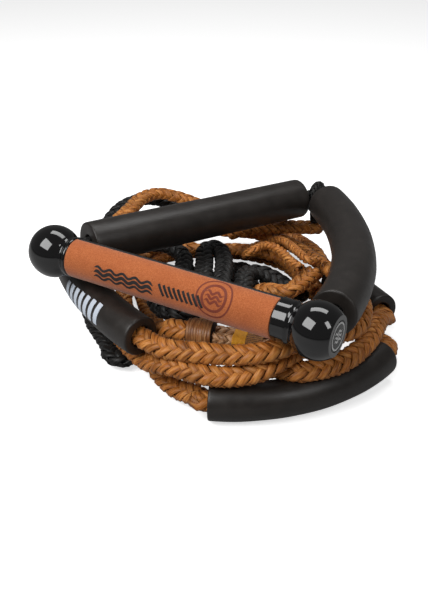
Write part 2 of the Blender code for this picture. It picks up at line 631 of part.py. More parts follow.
# name, route, point spacing, section, material
for name, route, step, guide, mat in (
        ("line_brown_1", ROUTE_BROWN_1, 10.0, LINE_GUIDE, BROWN),
        ("line_brown_2", ROUTE_BROWN_2, 10.0, LINE_GUIDE, BROWN),
        ("line_black", ROUTE_BLACK, 8.5, LINE_GUIDE, BLACK_ROPE),
        ("line_black_under", ROUTE_BLACK_UNDER, 8.5, LINE_GUIDE, BLACK_ROPE),
        ("line_lead", ROUTE_LEAD, 8.0, LINE_GUIDE, BROWN),
        ("brown_eye_splice", ROUTE_EYE_SPLICE, 6.0, EYE_GUIDE, BROWN),
        ("end_loop", ROUTE_END_LOOP, 5.0, END_GUIDE, BROWN)):
    sweep(name, smooth(route, step), guide, mat)

# name, arc, radius, segments along the arc
for name, spec, radius, segments in (
        ("striped_float", STRIPED, LINE_FLOAT_R, 14),
        ("bottom_float", BOTTOM, BOTTOM_FLOAT_R, 14),
        ("right_line_float", RIGHT, LINE_FLOAT_R, 6)):
    centre = empty(name + "_arc_centre", (*spec["centre"], spec["z"]), Matrix.Identity(4))
    sleeve(name, float_centre_line(spec, spec["start"], spec["end"], segments),
           (radius, radius), (LINE_BORE_R, LINE_BORE_R), FOAM, parent=centre, sides=22)


# ------------------------------------------------------------------ eye at the apex
def apex_eye():
    """Upright ring round the bridle's apex; its neck hangs down to the lead."""
    apex = FRAME @ Vector((APEX_X * MM, APEX_Y * MM, 0.0))
    level = Matrix.Translation(apex) @ YAW_TURN
    section = arc((EYE_RING_R, 0), EYE_ROPE_R, 0.0, -2 * math.pi, 12)[:-1]
    ring = turned("apex_eye", section, BLACK_ROPE, 28,
                  level @ Matrix.Rotation(math.pi / 2, 4, "Y"), ring=True)
    neck_end = -(apex.z / MM - LEAD_TOP - 0.4)
    neck = turned("apex_eye_neck",
                  [(0, -9.6), (3.5, -9.6), (5.3, -12.6), (5.3, -17.0),
                   (EYE_NECK_R, -20.5), (EYE_NECK_R, neck_end), (0, neck_end)],
                  None, 20, level, collection=GUIDES)
    add_boolean(ring, neck, "join_neck", "UNION")


apex_eye()

# ------------------------------------------------------------------ whipping and tag
whip_direction = Vector((*WHIP_DIR, 0.0)).normalized()


def along_whip(start, end, count):
    """Points along the whipping's axis, by distance from its middle."""
    return [Vector(WHIP_AT) + whip_direction * (start + (end - start) * i / count)
            for i in range(count + 1)]


sleeve("whipping_wrap", along_whip(-WHIP_LEN / 2, WHIP_LEN / 2, 6),
       (WHIP_W / 2, WHIP_H / 2), (WHIP_BORE_W / 2, WHIP_BORE_H / 2), TWINE, scales=WHIP_TAPER)
for name, start, end, mat in (("tag_band", BAND_FROM, BAND_TO, YELLOW),
                              ("tag_label", BAND_TO + GAP, LABEL_TO, LABEL)):
    sleeve(name, along_whip(start, end, 1), (TAG_W / 2, TAG_H / 2),
           (TAG_W / 2 - TAG_T, TAG_H / 2 - TAG_T), mat)

# middle of the footprint on the origin, the lowest float on z = 0
for obj in list(PARTS.objects) + list(GUIDES.objects):
    if obj.parent is None:
        obj.matrix_world = shift(*FRAME_SHIFT) @ obj.matrix_world
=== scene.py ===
"""A bar handle on a rope bridle, lying over a coil of braided line with foam floats.

Lengths are in millimetres and become metres when meshes are built.  In the row frame z is up,
the camera looks from the front (-y) and the coil lies on the ground.  The bridle frame has x
along the bar, y from the bar to the bridle's apex and z out of the bridle's plane.
"""
import math

import bmesh
import bpy
import numpy as np
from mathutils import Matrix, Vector


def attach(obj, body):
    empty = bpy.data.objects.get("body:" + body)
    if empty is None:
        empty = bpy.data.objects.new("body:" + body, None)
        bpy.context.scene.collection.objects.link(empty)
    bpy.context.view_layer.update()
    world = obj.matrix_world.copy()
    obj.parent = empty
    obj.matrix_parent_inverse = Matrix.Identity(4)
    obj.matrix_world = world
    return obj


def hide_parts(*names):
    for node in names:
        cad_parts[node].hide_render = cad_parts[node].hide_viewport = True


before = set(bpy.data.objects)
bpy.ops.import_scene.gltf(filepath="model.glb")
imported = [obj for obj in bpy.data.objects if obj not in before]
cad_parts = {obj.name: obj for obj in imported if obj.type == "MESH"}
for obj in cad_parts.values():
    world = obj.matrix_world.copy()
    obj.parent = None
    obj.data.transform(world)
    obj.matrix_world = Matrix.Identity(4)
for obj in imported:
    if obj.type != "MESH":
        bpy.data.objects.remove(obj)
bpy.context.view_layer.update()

# ------------------------------------------------------------------ dimensions
MM = 0.001
GAP = 0.3                    # clearance between neighbouring pieces
SHIFT = np.array((-4.45, 9.05, -0.3))   # puts the footprint's middle on the origin
UP = np.array([0.0, 0.0, 1.0])

BAR_CENTRE = (-26.7, -98.3, 78.0)
BAR_YAW = -31.2              # degrees, bar direction in plan
BRIDLE_PITCH = -3.1          # degrees, the bridle falls towards its apex
BALL_SPACING = 219.0         # centre to centre of the two ball ends
HALF_SPAN = BALL_SPACING / 2
BALL_R = 20.0
BALL_FLAT = 14.2             # flat end face from the ball's centre
NECK_R = 13.8
COLLAR_R = 15.2
COLLAR_END_RIGHT = -28.2     # inner edge of each collar from its ball's centre
COLLAR_END_LEFT = -20.4
BADGE_R, BADGE_T = 10.5, 0.8
SLEEVE_R = 13.4
LEATHER_T = 1.1
GRIP_R = SLEEVE_R + GAP + LEATHER_T     # over the leather
TUBE_R = 11.4
TUBE_END = 12.0              # tube ends this far from each ball's centre
SEAM_OPEN = 34.0             # degrees, strip left open along the back of the wrap
SEAM_AT = 67.0               # degrees up from the bridle side

LEG_R = 6.0                  # bridle rope radius
APEX_X, APEX_Y = 4.0, 223.0  # bridle apex, off the middle and from the bar axis
APEX_BEND_R = 10.0
BEND_Y = APEX_Y - APEX_BEND_R
RIGHT_LEG_R = 300.0          # the right leg is bowed
ROLL_Y = 16.0                # rope exit: the axis the grip rolls about
SEAT_RUN = 5.6               # the rope runs on this far into both seats
BRIDLE_FLOAT_R, BRIDLE_BORE_R = 17.0, 6.9
LEFT_FLOAT_TO_BALL, RIGHT_FLOAT_TO_BALL = 28.0, 27.0    # float ends, along each leg
LEFT_FLOAT_TO_BEND, RIGHT_FLOAT_TO_BEND = 7.5, 10.5

LINE_FLOAT_R, LINE_BORE_R = 15.0, 8.1
BOTTOM_FLOAT_R = 13.9        # the float that carries the coil is squeezed a little
EYE_R = LEG_R + 0.9 + 4.0    # middle of the eye's rope, round the bridle rope
EYE_FOOT = 17.5              # the eye's two ends, below the apex
NECK_TOP = -11.6             # whipping under the eye: its top, from the apex
NECK_FOOT_Z = 41.6           # and its foot, above the ground before the shift

# ------------------------------------------------------------------ line routes
# Middle of the rope over the coil (x, y, z) before the shift, and its usual levels.
LEVEL_STEP = 11.0
LOW = 5.7
MID, HIGH = LOW + LEVEL_STEP, LOW + 2 * LEVEL_STEP

# floats on the line: circular arcs parallel to the ground, angles in degrees
STRIPED = dict(centre=(170.0, 94.0), radius=300.0, start=-137.7, end=-162.7, z=43.3)
BOTTOM = dict(centre=(12.0, -4.0), radius=142.0, start=-96.3, end=-37.5, z=14.3)
RIGHT = dict(centre=(-231.5, -187.0), radius=400.0, start=23.6, end=33.0, z=15.3)


def on_arc(arc, degrees):
    angle = math.radians(degrees)
    return (arc["centre"][0] + arc["radius"] * math.cos(angle),
            arc["centre"][1] + arc["radius"] * math.sin(angle), arc["z"])


def arc_points(arc, extra=8.0, step=9.0):
    """Points along a float's arc, running a little past both ends."""
    past = math.copysign(math.degrees(extra / arc["radius"]), arc["end"] - arc["start"])
    start, end = arc["start"] - past, arc["end"] + past
    count = max(2, int(abs(math.radians(end - start)) * arc["radius"] / step))
    return [on_arc(arc, start + (end - start) * i / count) for i in range(count + 1)]


# first brown length: middle, inner left, front over the bottom float, right float, back,
# back-left pile, striped float, front top, right, back, left
BROWN_ROUTE_1 = [
    (84, 7, 34), (71, -10, 33), (60, -22, 32), (50, -19, 31), (41, -14, 29),
    (30, -20, 25), (12, -28, 17), (-8, -30, 9), (-24, -38, LOW), (-33, -54, LOW),
    (-32, -74, LOW), (-23, -91, LOW), (-8, -103, 6.5), (10, -111, 10), (24, -117, 17),
    (34, -121, 24), (41, -127, 29.3), (49, -134.5, 33.2), (60, -138, 34.1),
    (74, -134.5, 34), (88, -127, 34), (101, -114.5, 34), (112, -99, 34),
    (120, -80, 32.5), (127, -61, 29), (133, -46, 22.5),
    *arc_points(RIGHT),
    (96, 56, 16.5), (92, 76, 17), (84, 94, 17), (71, 112, 17), (50, 128, 20),
    (22, 135, 28), (-8, 134, 37), (-31, 137, 45), (-52, 137, 49.5), (-67, 125, 50.5),
    (-75, 103, 50.5), (-84, 78, 50), (-96, 54, 48.5), (-108, 32, 46),
    *arc_points(STRIPED)[::-1],
    (-35, -125, 44.6), (-17, -133, 47), (2, -138, 48.3), (20, -143.5, 51.5),
    (38, -143.5, 54.5), (51, -137, 55.2), (63, -129, 54.8), (75, -122, 53), (86, -115, 50.5),
    (96, -107, 48), (104, -96, 45.5), (109, -83, 45), (112, -67, 43.5),
    (112.5, -50, 41), (110, -30, 38), (104.5, -10, 35.5), (97, 12, 33.5), (88, 34, 31),
    (79, 56, 28), (66, 75, HIGH), (46, 91, HIGH), (20, 99, HIGH), (-8, 102, HIGH),
    (-34, 96, HIGH), (-60, 84, HIGH), (-80, 62, 24), (-92, 34, 18), (-96, 5, MID),
    (-92, -27, MID), (-82, -50, MID)]

# second brown length: front middle level, right, back, inner left, bottom float,
# right on the ground, back on the ground, left, up to the whipping
BROWN_ROUTE_2 = [
    (-77, -58.5, 18), (-69, -74, 19.7), (-60, -90, 20.8), (-50, -106, 22.3),
    (-41, -120, 28.4), (-31, -131, 34), (-20, -138.5, 35.8), (-8, -144, 36),
    (6, -147, 36), (18, -147.5, 37.5), (30, -147, 40.5), (42, -142, 43.8),
    (53, -132, 44.2), (64, -120.5, 42.9), (74, -109.5, 40.3), (84, -97, 37.5),
    (91, -82, 33.5), (96, -64, 30), (98, -45, 27), (97, -24, 22), (90, -2, MID),
    (81, 24, MID), (72, 46, MID),
    (62, 64, MID), (42, 78, MID), (18, 84, MID), (2, 76, 19), (-8, 66, 24), (-20, 64, HIGH),
    (-32, 72, HIGH), (-46, 70, HIGH), (-61, 58, 25), (-73, 38, 16), (-77, 16, 8),
    (-75, -4, 5.9), (-67.5, -24, 5.8), (-57.5, -44, LOW), (-49.3, -62, LOW), (-45, -80, LOW),
    (-41, -97, LOW),
    (-34, -111, 6.5), (-25, -124, 8.5), (-15, -134, 12), (-9, -141, 14.6),
    *arc_points(BOTTOM),
    (134, -70, 10.5), (134, -59, 6.5), (123, -48, LOW), (110, -33, LOW), (100, -10, LOW),
    (88, 16, LOW), (79, 44, LOW), (70, 68, LOW), (50, 86, LOW), (24, 97, LOW),
    (-6, 101, LOW), (-36, 95, LOW), (-58, 78, LOW), (-65, 50, LOW), (-61, 20, LOW),
    (-55, -8, 8), (-49, -32, 14), (-46, -52, 19), (-43, -68, 24.5), (-40.5, -80, 31),
    (-37, -89.5, 38), (-31, -97.5, 43.5), (-23, -103, 45.7), (-17, -105, 46), (-13, -105.7, 46)]

# upper black length: from the right, passes in the middle, left side, a bight at the
# front left, back-left pile, end at the back
BLACK_ROUTE = [
    (76, -13, 19.5), (66, -3, 21), (56, 7, 24), (44, 14, 28), (33, 13, 31),
    (26, 2, 34), (24, -16, 35), (21, -33, 35), (14, -41, 35), (7, -33, 35.5),
    (6, -14, 36), (8, 8, 36.5), (8, 28, 37), (4, 44, 37), (-3, 48, 37),
    (-8, 39, 37), (-8, 18, 37.5), (-9, -6, 38), (-10, -30, 40), (-11, -54, 43),
    (-15, -76, 45.5), (-24, -82, 46), (-36, -76, 46), (-44, -58, 45), (-40, -30, 41),
    (-30, -8, 38), (-25, 14, 37), (-28, 33, 37.5), (-42, 45, 40), (-58, 47, 39.5),
    (-76, 46, 39), (-92, 51, 36), (-106, 47, 29), (-111, 30, 17), (-107.5, 8, 9),
    (-101.5, -13, 6), (-95.5, -32, 6), (-87, -50, 6.4), (-80.5, -65, 7.2), (-78, -78, 8.2),
    (-70, -84.5, 8.5), (-61.8, -79, 8.5), (-63.8, -66, 8), (-71.5, -49, 6.5), (-82, -27, LOW),
    (-91, -2, LOW), (-94, 24, LOW), (-97, 50, 8), (-102, 80, 14), (-104, 106, 22),
    (-96, 128, 30.5), (-84, 141, 36.3), (-68, 149, 38.5), (-50, 150, 36.5), (-32, 147, 31),
    (-16, 139, 24.5)]

# lead off the bridle eye, lying over the back of the coil
LEAD_ROUTE = [
    (99, 92.5, 35), (91, 91, 35.5), (82, 89.5, 36.5), (70, 87, 38), (54, 84, 39.5), (38, 81, 40),
    (24, 78, 39), (12, 75, 36.5)]

# second black length: flat passes on the ground inside the coil
BLACK_UNDER_ROUTE = [(x, y, LOW) for x, y in (
    (-44, 36), (-41, 20), (-36, 2), (-30, -10), (-20, -12), (-16, 0), (-19, 22), (-23, 42),
    (-20, 56), (-10, 58), (-5, 46), (-2, 22), (1, 0), (8, -10), (17, -6), (17, 12), (14, 34),
    (12, 54), (18, 66), (28, 64), (31, 48), (33, 24), (35, 4), (42, -6), (51, -2), (52, 16),
    (48, 40), (50, 58))]

# long eye round the black passes
EYE_ROUTE = [
    (88, 11, 43), (78, 10, 44), (71, 24, 44), (64, 42, 43), (56, 56, 40), (48, 66, 32),
    (36, 68, 27), (28, 58, 26), (28, 44, 30), (28, 32, 38), (30, 24, 44), (36, 26, 46),
    (42, 32, 46), (50, 32, 45), (58, 22, 44), (64, 8, 43.5), (71, -3, 43)]

# the line's far end: two legs of the end loop out of the whipping
END_LOOP_ROUTE = [
    (-7, -102.8, 46.2), (4, -105, 46.2), (16, -108.2, 46.2), (28, -111.5, 46.2),
    (38, -114.6, 46.2), (44, -118, 46.2), (43.5, -122.6, 46.2), (38, -124.1, 46.2),
    (28, -121.3, 46.2), (14, -117.2, 46.2), (2, -114, 46.2), (-8, -111.8, 46.2)]
WHIP_AT, WHIP_DIR, WHIP_LEN = (-9.0, -106.8, 46.1), (0.966, -0.257, 0.0), 20.0
WHIP_W, WHIP_H = 23.0, 19.5
BAND_FROM, BAND_TO, LABEL_TO = 24.5, 34.0, 46.0     # from the whipping's middle

# ------------------------------------------------------------------ marks
# stripes across the striped float: mm along it, degrees round it
STRIPE_COUNT, STRIPE_AT, STRIPE_STEP, STRIPE_W = 7, 37.5, 8.2, 4.9
STRIPE_LOW, STRIPE_HIGH = -8.0, 58.0
LOW_DRIFT, HIGH_DRIFT = 3.4, 3.7    # each stripe's ends sit this much lower than the last's
# print on the leather: mm along the bar from its middle, mm round it
MARK_DEG = 6.0                      # middle line of the marks, degrees up from the front
WAVES_FROM, WAVES_TO = -61.0, -10.0
BAR_COUNT, BARS_AT, BARS_STEP, BARS_V = 9, -3.0, 3.9, 1.6
RING_AT, RING_V, RING_SQUASH = 38.0, 7.0, 0.94


# ------------------------------------------------------------------ frames
def unit(vectors):
    return vectors / np.maximum(np.linalg.norm(vectors, axis=-1, keepdims=True), 1e-9)


def square_to(vectors, tangents):
    """The part of each vector square to its tangent, at unit length."""
    return unit(vectors - (vectors * tangents).sum(-1, keepdims=True) * tangents)


def placed(points, origin, x_axis, y_axis, z_axis):
    return (origin + points[..., 0:1] * x_axis + points[..., 1:2] * y_axis
            + points[..., 2:3] * z_axis)


yaw, pitch = math.radians(BAR_YAW), math.radians(BRIDLE_PITCH)
BAR_X = np.array([math.cos(yaw), math.sin(yaw), 0.0])
BAR_Y = np.array([-math.sin(yaw) * math.cos(pitch), math.cos(yaw) * math.cos(pitch),
                  math.sin(pitch)])
BAR_Z = np.cross(BAR_X, BAR_Y)
ORIGIN = np.array(BAR_CENTRE) + SHIFT


def from_bridle(points):
    """Bridle-frame points to the row frame."""
    return placed(np.asarray(points, float), ORIGIN, BAR_X, BAR_Y, BAR_Z)


def left_leg():
    """Straight left leg: its lean, and its length from the ball's centre to the bend."""
    reach = HALF_SPAN + APEX_X
    chord = math.hypot(reach, BEND_Y)
    lean = math.atan2(reach, BEND_Y) - math.asin(APEX_BEND_R / chord)
    return lean, math.sqrt(chord * chord - APEX_BEND_R ** 2)


def right_leg():
    """Right leg's arc, from the ball's centre to the bend: its centre and end angles."""
    chord_x, chord_y = APEX_X - HALF_SPAN, BEND_Y
    chord = math.hypot(chord_x, chord_y)
    inner = RIGHT_LEG_R - APEX_BEND_R
    along = (RIGHT_LEG_R ** 2 - inner ** 2 + chord ** 2) / (2 * chord)
    aside = math.sqrt(RIGHT_LEG_R ** 2 - along ** 2)
    x = HALF_SPAN + (chord_x * along - chord_y * aside) / chord
    y = (chord_y * along + chord_x * aside) / chord
    return (x, y), math.atan2(-y, HALF_SPAN - x), math.atan2(BEND_Y - y, APEX_X - x)


LEAN, LEG_LEN = left_leg()
ARC_CENTRE, ARC_BALL, ARC_BEND = right_leg()
LEFT_SEAT = ROLL_Y / math.cos(LEAN)                     # rope exit from the ball's centre
RIGHT_EXIT_ANGLE = math.asin((ROLL_Y - ARC_CENTRE[1]) / RIGHT_LEG_R)


def on_left_leg(run):
    return (-HALF_SPAN + run * math.sin(LEAN), run * math.cos(LEAN), 0.0)


def on_right_leg(angle):
    return (ARC_CENTRE[0] + RIGHT_LEG_R * math.cos(angle),
            ARC_CENTRE[1] + RIGHT_LEG_R * math.sin(angle), 0.0)


# ------------------------------------------------------------------ mesh helpers
def ring_angles(count):
    return 2 * math.pi * np.arange(count) / count


def superellipse(angles, exponent):
    """Unit x and y of a squared-off circle; a lower exponent is squarer."""
    x, y = np.cos(angles), np.sin(angles)
    return np.sign(x) * np.abs(x) ** exponent, np.sign(y) * np.abs(y) ** exponent


def run_length(path):
    return np.concatenate([[0], np.cumsum(np.linalg.norm(np.diff(path, axis=0), axis=1))])


def volume(verts, quads):
    a, b, c, d = (verts[quads[:, i]] for i in range(4))
    return sum(np.einsum("ij,ij->i", a, cross).sum() for cross in (np.cross(b, c), np.cross(c, d)))


def grid(points, closed_rows=False, cap=True, u0=0.0):
    """Quads over points (rows x cols x 3), closed round the columns; ends capped or joined.
    Returns verts, face arrays and their uvs (cm), with the faces pointing out."""
    rows, cols = points.shape[:2]
    verts = points.reshape(-1, 3)
    i, j = np.meshgrid(np.arange(rows if closed_rows else rows - 1), np.arange(cols), indexing="ij")
    i2, j2 = (i + 1) % rows, (j + 1) % cols
    quads = [i * cols + j, i * cols + j2, i2 * cols + j2, i2 * cols + j]
    quads = np.stack(quads, -1).reshape(-1, 4)
    steps = np.linalg.norm(np.roll(points, -1, 0) - points, axis=-1).mean(1)
    run = np.concatenate([[0], np.cumsum(steps)])
    girth = np.linalg.norm(np.roll(points, -1, 1) - points, axis=-1).sum(1).max()
    u = np.stack([j, j + 1, j + 1, j], -1) * (girth / cols) + u0
    v = np.stack([run[i], run[i], run[i + 1], run[i + 1]], -1)
    uv = np.stack([u, v], -1).reshape(-1, 4, 2) * 0.1
    flip = volume(verts, quads) < 0
    if flip:
        quads, uv = quads[:, ::-1], uv[:, ::-1]
    faces, uvs = [quads], [uv.reshape(-1, 2)]
    if cap and not closed_rows:
        first = np.arange(cols)[None, :]
        last = first + (rows - 1) * cols
        faces += [first, last[:, ::-1]] if flip else [first[:, ::-1], last]
        uvs += [np.zeros((cols, 2)), np.zeros((cols, 2))]
    return verts, faces, uvs


def join_grids(parts):
    """Merges grids, grouping their faces by size: verts, faces, uvs, material indices."""
    all_verts, groups, base = [], {}, 0
    for points, options, material in parts:
        verts, faces, uvs = grid(points, **options)
        all_verts.append(verts)
        for face, uv in zip(faces, uvs):
            entry = (face + base, uv, np.full(len(face), material))
            groups.setdefault(face.shape[1], []).append(entry)
        base += len(verts)
    merged = [[np.concatenate(column) for column in zip(*groups[size])] for size in sorted(groups)]
    faces, uvs, materials = zip(*merged)
    return np.concatenate(all_verts), faces, np.concatenate(uvs), np.concatenate(materials)


def build(name, parts, mats, body, slot, node=None, lift=None, sharp=None):
    """A mesh object from parts: (points in mm, grid options, material index) each.
    lift is a value per point, which the fibre materials turn into painted shade; sharp is the crease
    angle in degrees."""
    verts, faces, uvs, materials = join_grids(parts)
    me = bpy.data.meshes.new(name)
    me.vertices.add(len(verts))
    me.vertices.foreach_set("co", (verts * MM).ravel())
    loops = np.concatenate([f.ravel() for f in faces])
    totals = np.concatenate([np.full(len(f), f.shape[1], np.int32) for f in faces])
    starts = np.concatenate([[0], np.cumsum(totals)[:-1]]).astype(np.int32)
    me.loops.add(len(loops))
    me.loops.foreach_set("vertex_index", loops.astype(np.int32))
    me.polygons.add(len(totals))
    me.polygons.foreach_set("loop_start", starts)
    me.polygons.foreach_set("loop_total", totals)
    if len(parts) > 1:
        me.polygons.foreach_set("material_index", materials.astype(np.int32))
    me.uv_layers.new(name="UVMap").data.foreach_set("uv", uvs.astype(np.float32).ravel())
    if lift is not None:
        values = me.attributes.new("lift", "FLOAT", "POINT").data
        values.foreach_set("value", lift.astype(np.float32))
    me.update(calc_edges=True)
    me.validate(clean_customdata=False)
    me.shade_smooth()
    if sharp:
        me.set_sharp_from_angle(angle=math.radians(sharp))
    for mat in mats:
        me.materials.append(mat)
    obj = bpy.data.objects.new(name, me)
    bpy.context.scene.collection.objects.link(obj)
    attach(obj, body)
    if node:
        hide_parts(node)
    return obj


def weld(me):
    """Joins points that coincide, such as a turned form's poles."""
    bm = bmesh.new()
    bm.from_mesh(me)
    bmesh.ops.remove_doubles(bm, verts=bm.verts, dist=2e-6)
    bmesh.ops.dissolve_degenerate(bm, edges=bm.edges, dist=1e-7)
    bmesh.ops.recalc_face_normals(bm, faces=bm.faces)
    bm.to_mesh(me)
    bm.free()


# ------------------------------------------------------------------ rope
def between(a, b, time_a, time_b, time):
    span = time_b - time_a
    return a * ((time_b - time) / span) + b * ((time - time_a) / span)


def smooth(points, step):
    """Centripetal Catmull-Rom through the control points, resampled by length."""
    knots = [Vector(tuple(q)) for q in points]
    knots = [knots[0] * 2 - knots[1]] + knots + [knots[-1] * 2 - knots[-2]]
    fine = []
    for i in range(1, len(knots) - 2):
        four = knots[i - 1:i + 3]
        times = [0.0]
        for start, end in zip(four, four[1:]):
            times.append(times[-1] + max((end - start).length, 1e-6) ** 0.5)
        for k in range(12):
            t = times[1] + (times[2] - times[1]) * k / 12.0
            near = [between(four[j], four[j + 1], times[j], times[j + 1], t) for j in range(3)]
            wide = [between(near[j], near[j + 1], times[j], times[j + 2], t) for j in range(2)]
            fine.append(between(wide[0], wide[1], times[1], times[2], t))
    fine.append(knots[-2])
    total = sum((fine[i + 1] - fine[i]).length for i in range(len(fine) - 1))
    count = max(2, int(round(total / step)))
    out, spacing, run, i = [fine[0]], total / count, 0.0, 0
    while len(out) < count and i < len(fine) - 1:
        length = (fine[i + 1] - fine[i]).length
        while run + length >= spacing * len(out) and len(out) < count:
            out.append(fine[i].lerp(fine[i + 1], (spacing * len(out) - run) / length))
        run += length
        i += 1
    out.append(fine[-1])
    return out


def section_table(half_w, half_h, power, count=720):
    """Flattened section by arc length: angle, x, y and outward normal x, y."""
    even = np.linspace(0, 2 * math.pi, count + 1)
    x, y = superellipse(even, 2 / power)
    x, y = half_w * x, half_h * y
    arc = run_length(np.stack([x, y], -1))
    arc = arc / arc[-1] * 2 * math.pi
    x, y = np.interp(even, arc, x), np.interp(even, arc, y)
    dx, dy = np.gradient(x), np.gradient(y)
    dx[0] = dx[-1] = (x[1] - x[-2]) / 2
    dy[0] = dy[-1] = (y[1] - y[-2]) / 2
    size = np.hypot(dx, dy)
    return even, x, y, dy / size, -dx / size


def rope_frames(path, lean):
    """Across and normal along a path; lean gives the way the flat face looks."""
    tangent = unit(np.gradient(path, axis=0))
    normal = square_to(lean(path) if callable(lean) else np.tile(lean, (len(path), 1)), tangent)
    for _ in range(3):
        normal[1:-1] = (normal[:-2] + normal[1:-1] * 2 + normal[2:]) / 4
        normal = square_to(unit(normal), tangent)
    return np.cross(tangent, normal), normal


def sweep_strand(centre, outward, half_w, half_t, sides, exponent):
    """Flat strand along a path; returns its points and each side's height, -1 to 1."""
    wide, high = superellipse(ring_angles(sides), exponent)
    tangent = unit(np.gradient(centre, axis=0))
    normal = square_to(outward, tangent)
    half_t = np.broadcast_to(half_t, (len(centre),))
    points = (centre[:, None] + np.cross(tangent, normal)[:, None] * (half_w[:, None] * wide)[..., None]
              + normal[:, None] * (half_t[:, None] * high)[..., None])
    return points, high


STRANDS = 4     # strands each way


def braid(name, node, route, half_w, half_h, pitch, strand_w, strand_t, weave, mats, slot, seed,
          body="coil", step=1.6, lean=UP, dome=0.0, shift=SHIFT, power=2.3, wander=1.0):
    """Hollow braid, two over and two under, round a flattened section.
    strand_w and strand_t are half sizes, weave the rise over a crossing, dome the rounded
    length at both ends and wander the unevenness."""
    path = np.array([tuple(q) for q in smooth(route, step)], float) + shift
    across, normal = rope_frames(path, lean)
    run = run_length(path)
    random = np.random.default_rng(seed + 11)
    # the section breathes a little along the rope
    phase = random.uniform(0, 6.28, 6)
    swell_w = 1 + wander * (0.03 * np.sin(run / 17 + phase[0]) + 0.025 * np.sin(run / 7.3 + phase[1]))
    swell_h = 1 + wander * (0.05 * np.sin(run / 13 + phase[2]) + 0.03 * np.sin(run / 5.9 + phase[3]))
    taper = np.ones_like(run)
    if dome:
        for x in (run, run[-1] - run):
            k = np.clip(1 - x / dome, 0, 0.985)
            taper = np.minimum(taper, np.sqrt(1 - k * k))
    table, *section = section_table(half_w, half_h, power)
    turn = 2 * math.pi * (run + wander * 0.5 * np.sin(run / 21 + phase[4])) / pitch
    parts, lift = [], []
    for sign in (1, -1):
        for k in range(STRANDS):
            phase = random.uniform(0, 6.28, 4)
            angle = sign * turn + 2 * math.pi * k / STRANDS + (math.pi / STRANDS if sign < 0 else 0)
            angle = angle + wander * 0.05 * np.sin(run / 9.0 + phase[0])
            wrapped = np.mod(angle, 2 * math.pi)
            x, y, normal_x, normal_y = (np.interp(wrapped, table, c)[:, None] for c in section)
            # a sine with flattened crests, so each strand runs level between crossings
            over = np.sin(angle * STRANDS / 2)
            over = over / np.sqrt(over * over + 0.18) * 1.086
            rise = sign * weave * over * taper * (1 + wander * 0.12 * np.sin(run / 4.1 + phase[1]))
            outward = across * normal_x + normal * normal_y
            centre = (path + across * x * (swell_w * taper)[:, None]
                      + normal * y * (swell_h * taper)[:, None] + outward * rise[:, None])
            points, high = sweep_strand(
                centre, outward, sides=8, exponent=0.85,
                half_w=strand_w * taper * (1 + wander * 0.07 * np.sin(run / 3.3 + phase[2])),
                half_t=strand_t * taper * (1 + wander * 0.10 * np.sin(run / 2.7 + phase[3])))
            u0 = (k + 1 + (STRANDS if sign < 0 else 0)) * 53.0 + seed * 7.0
            parts.append((points, dict(u0=u0), 0))
            # lift is low where a strand dips under a crossing and on its inner side; the fibre material
            # turns it into painted shade
            lift.append((rise / weave)[:, None] + high * 0.8)
    # dark core that closes the view between the strands; on the brown rope its near-black colour is
    # painted shade, the hollow braid's shadowed inside
    around = ring_angles(12)
    core_w, core_h = max(half_w - 1.5, half_w * 0.45), max(half_h - 1.3, half_h * 0.4)
    core = (path[:, None] + across[:, None] * (core_w * taper[:, None] * np.cos(around))[..., None]
            + normal[:, None] * (core_h * taper[:, None] * np.sin(around))[..., None])[::2]
    parts.append((core, {}, 1))
    lift.append(np.full(core.shape[:2], -1.5))
    build(name, parts, mats, body, slot, node, np.concatenate([x.ravel() for x in lift]))


def whipping(name, origin, axis, across, normal, length, shape, turns, half_w, half_t, mats, slot,
             seed, node=None):
    """Flat twine wound side by side round a core; shape(u) gives the half sizes along it."""
    random = np.random.default_rng(seed)
    t = np.linspace(0, 1, int(turns * 40) + 1)
    phase = random.uniform(0, 6.28, 5)
    along = ((t - 0.5) * (length - 2 * half_w)
             + 0.30 * np.sin(2 * math.pi * turns * t * 0.5 + phase[0]))
    size_x, size_y = shape(np.clip(along / length + 0.5, 0, 1))
    inset = 0.10 * np.sin(2 * math.pi * turns * t * 1.37 + phase[1]) - half_t
    angle = 2 * math.pi * turns * t
    centre = (origin + axis * along[:, None] + across * ((size_x + inset) * np.cos(angle))[:, None]
              + normal * ((size_y + inset) * np.sin(angle))[:, None])
    outward = (across * (np.cos(angle) / size_x)[:, None]
               + normal * (np.sin(angle) / size_y)[:, None])
    twine, high = sweep_strand(centre, outward, sides=10, exponent=0.8, half_t=half_t,
                               half_w=half_w * (1 + 0.10 * np.sin(angle * 0.31 + phase[2])))
    k = np.linspace(-0.5, 0.5, 15)
    around = ring_angles(36)
    core_x, core_y = (size[:, None] - half_t * 1.2 for size in shape(k + 0.5))
    core = (origin + axis * (k * (length - 0.8))[:, None, None]
            + across * (core_x * np.cos(around))[..., None]
            + normal * (core_y * np.sin(around))[..., None])
    # the twine's lift is low on its inner side, where the fibre material paints shade; the core between
    # the turns is dark as painted shade
    lift = np.concatenate([np.tile(0.5 + high * 0.8, len(twine)), np.full(core[..., 0].size, -1.0)])
    build(name, [(twine, dict(u0=seed * 9.0), 0), (core, {}, 1)], mats, "coil", slot, node, lift)


# ------------------------------------------------------------------ turned forms and marks
def lathe(profile, cols):
    """Rows x cols x 3 about local z from (radius, z) points."""
    around = ring_angles(cols)
    p = np.array(profile, float)
    return np.stack([p[:, :1] * np.cos(around), p[:, :1] * np.sin(around),
                     np.broadcast_to(p[:, 1:], (len(p), cols))], -1)


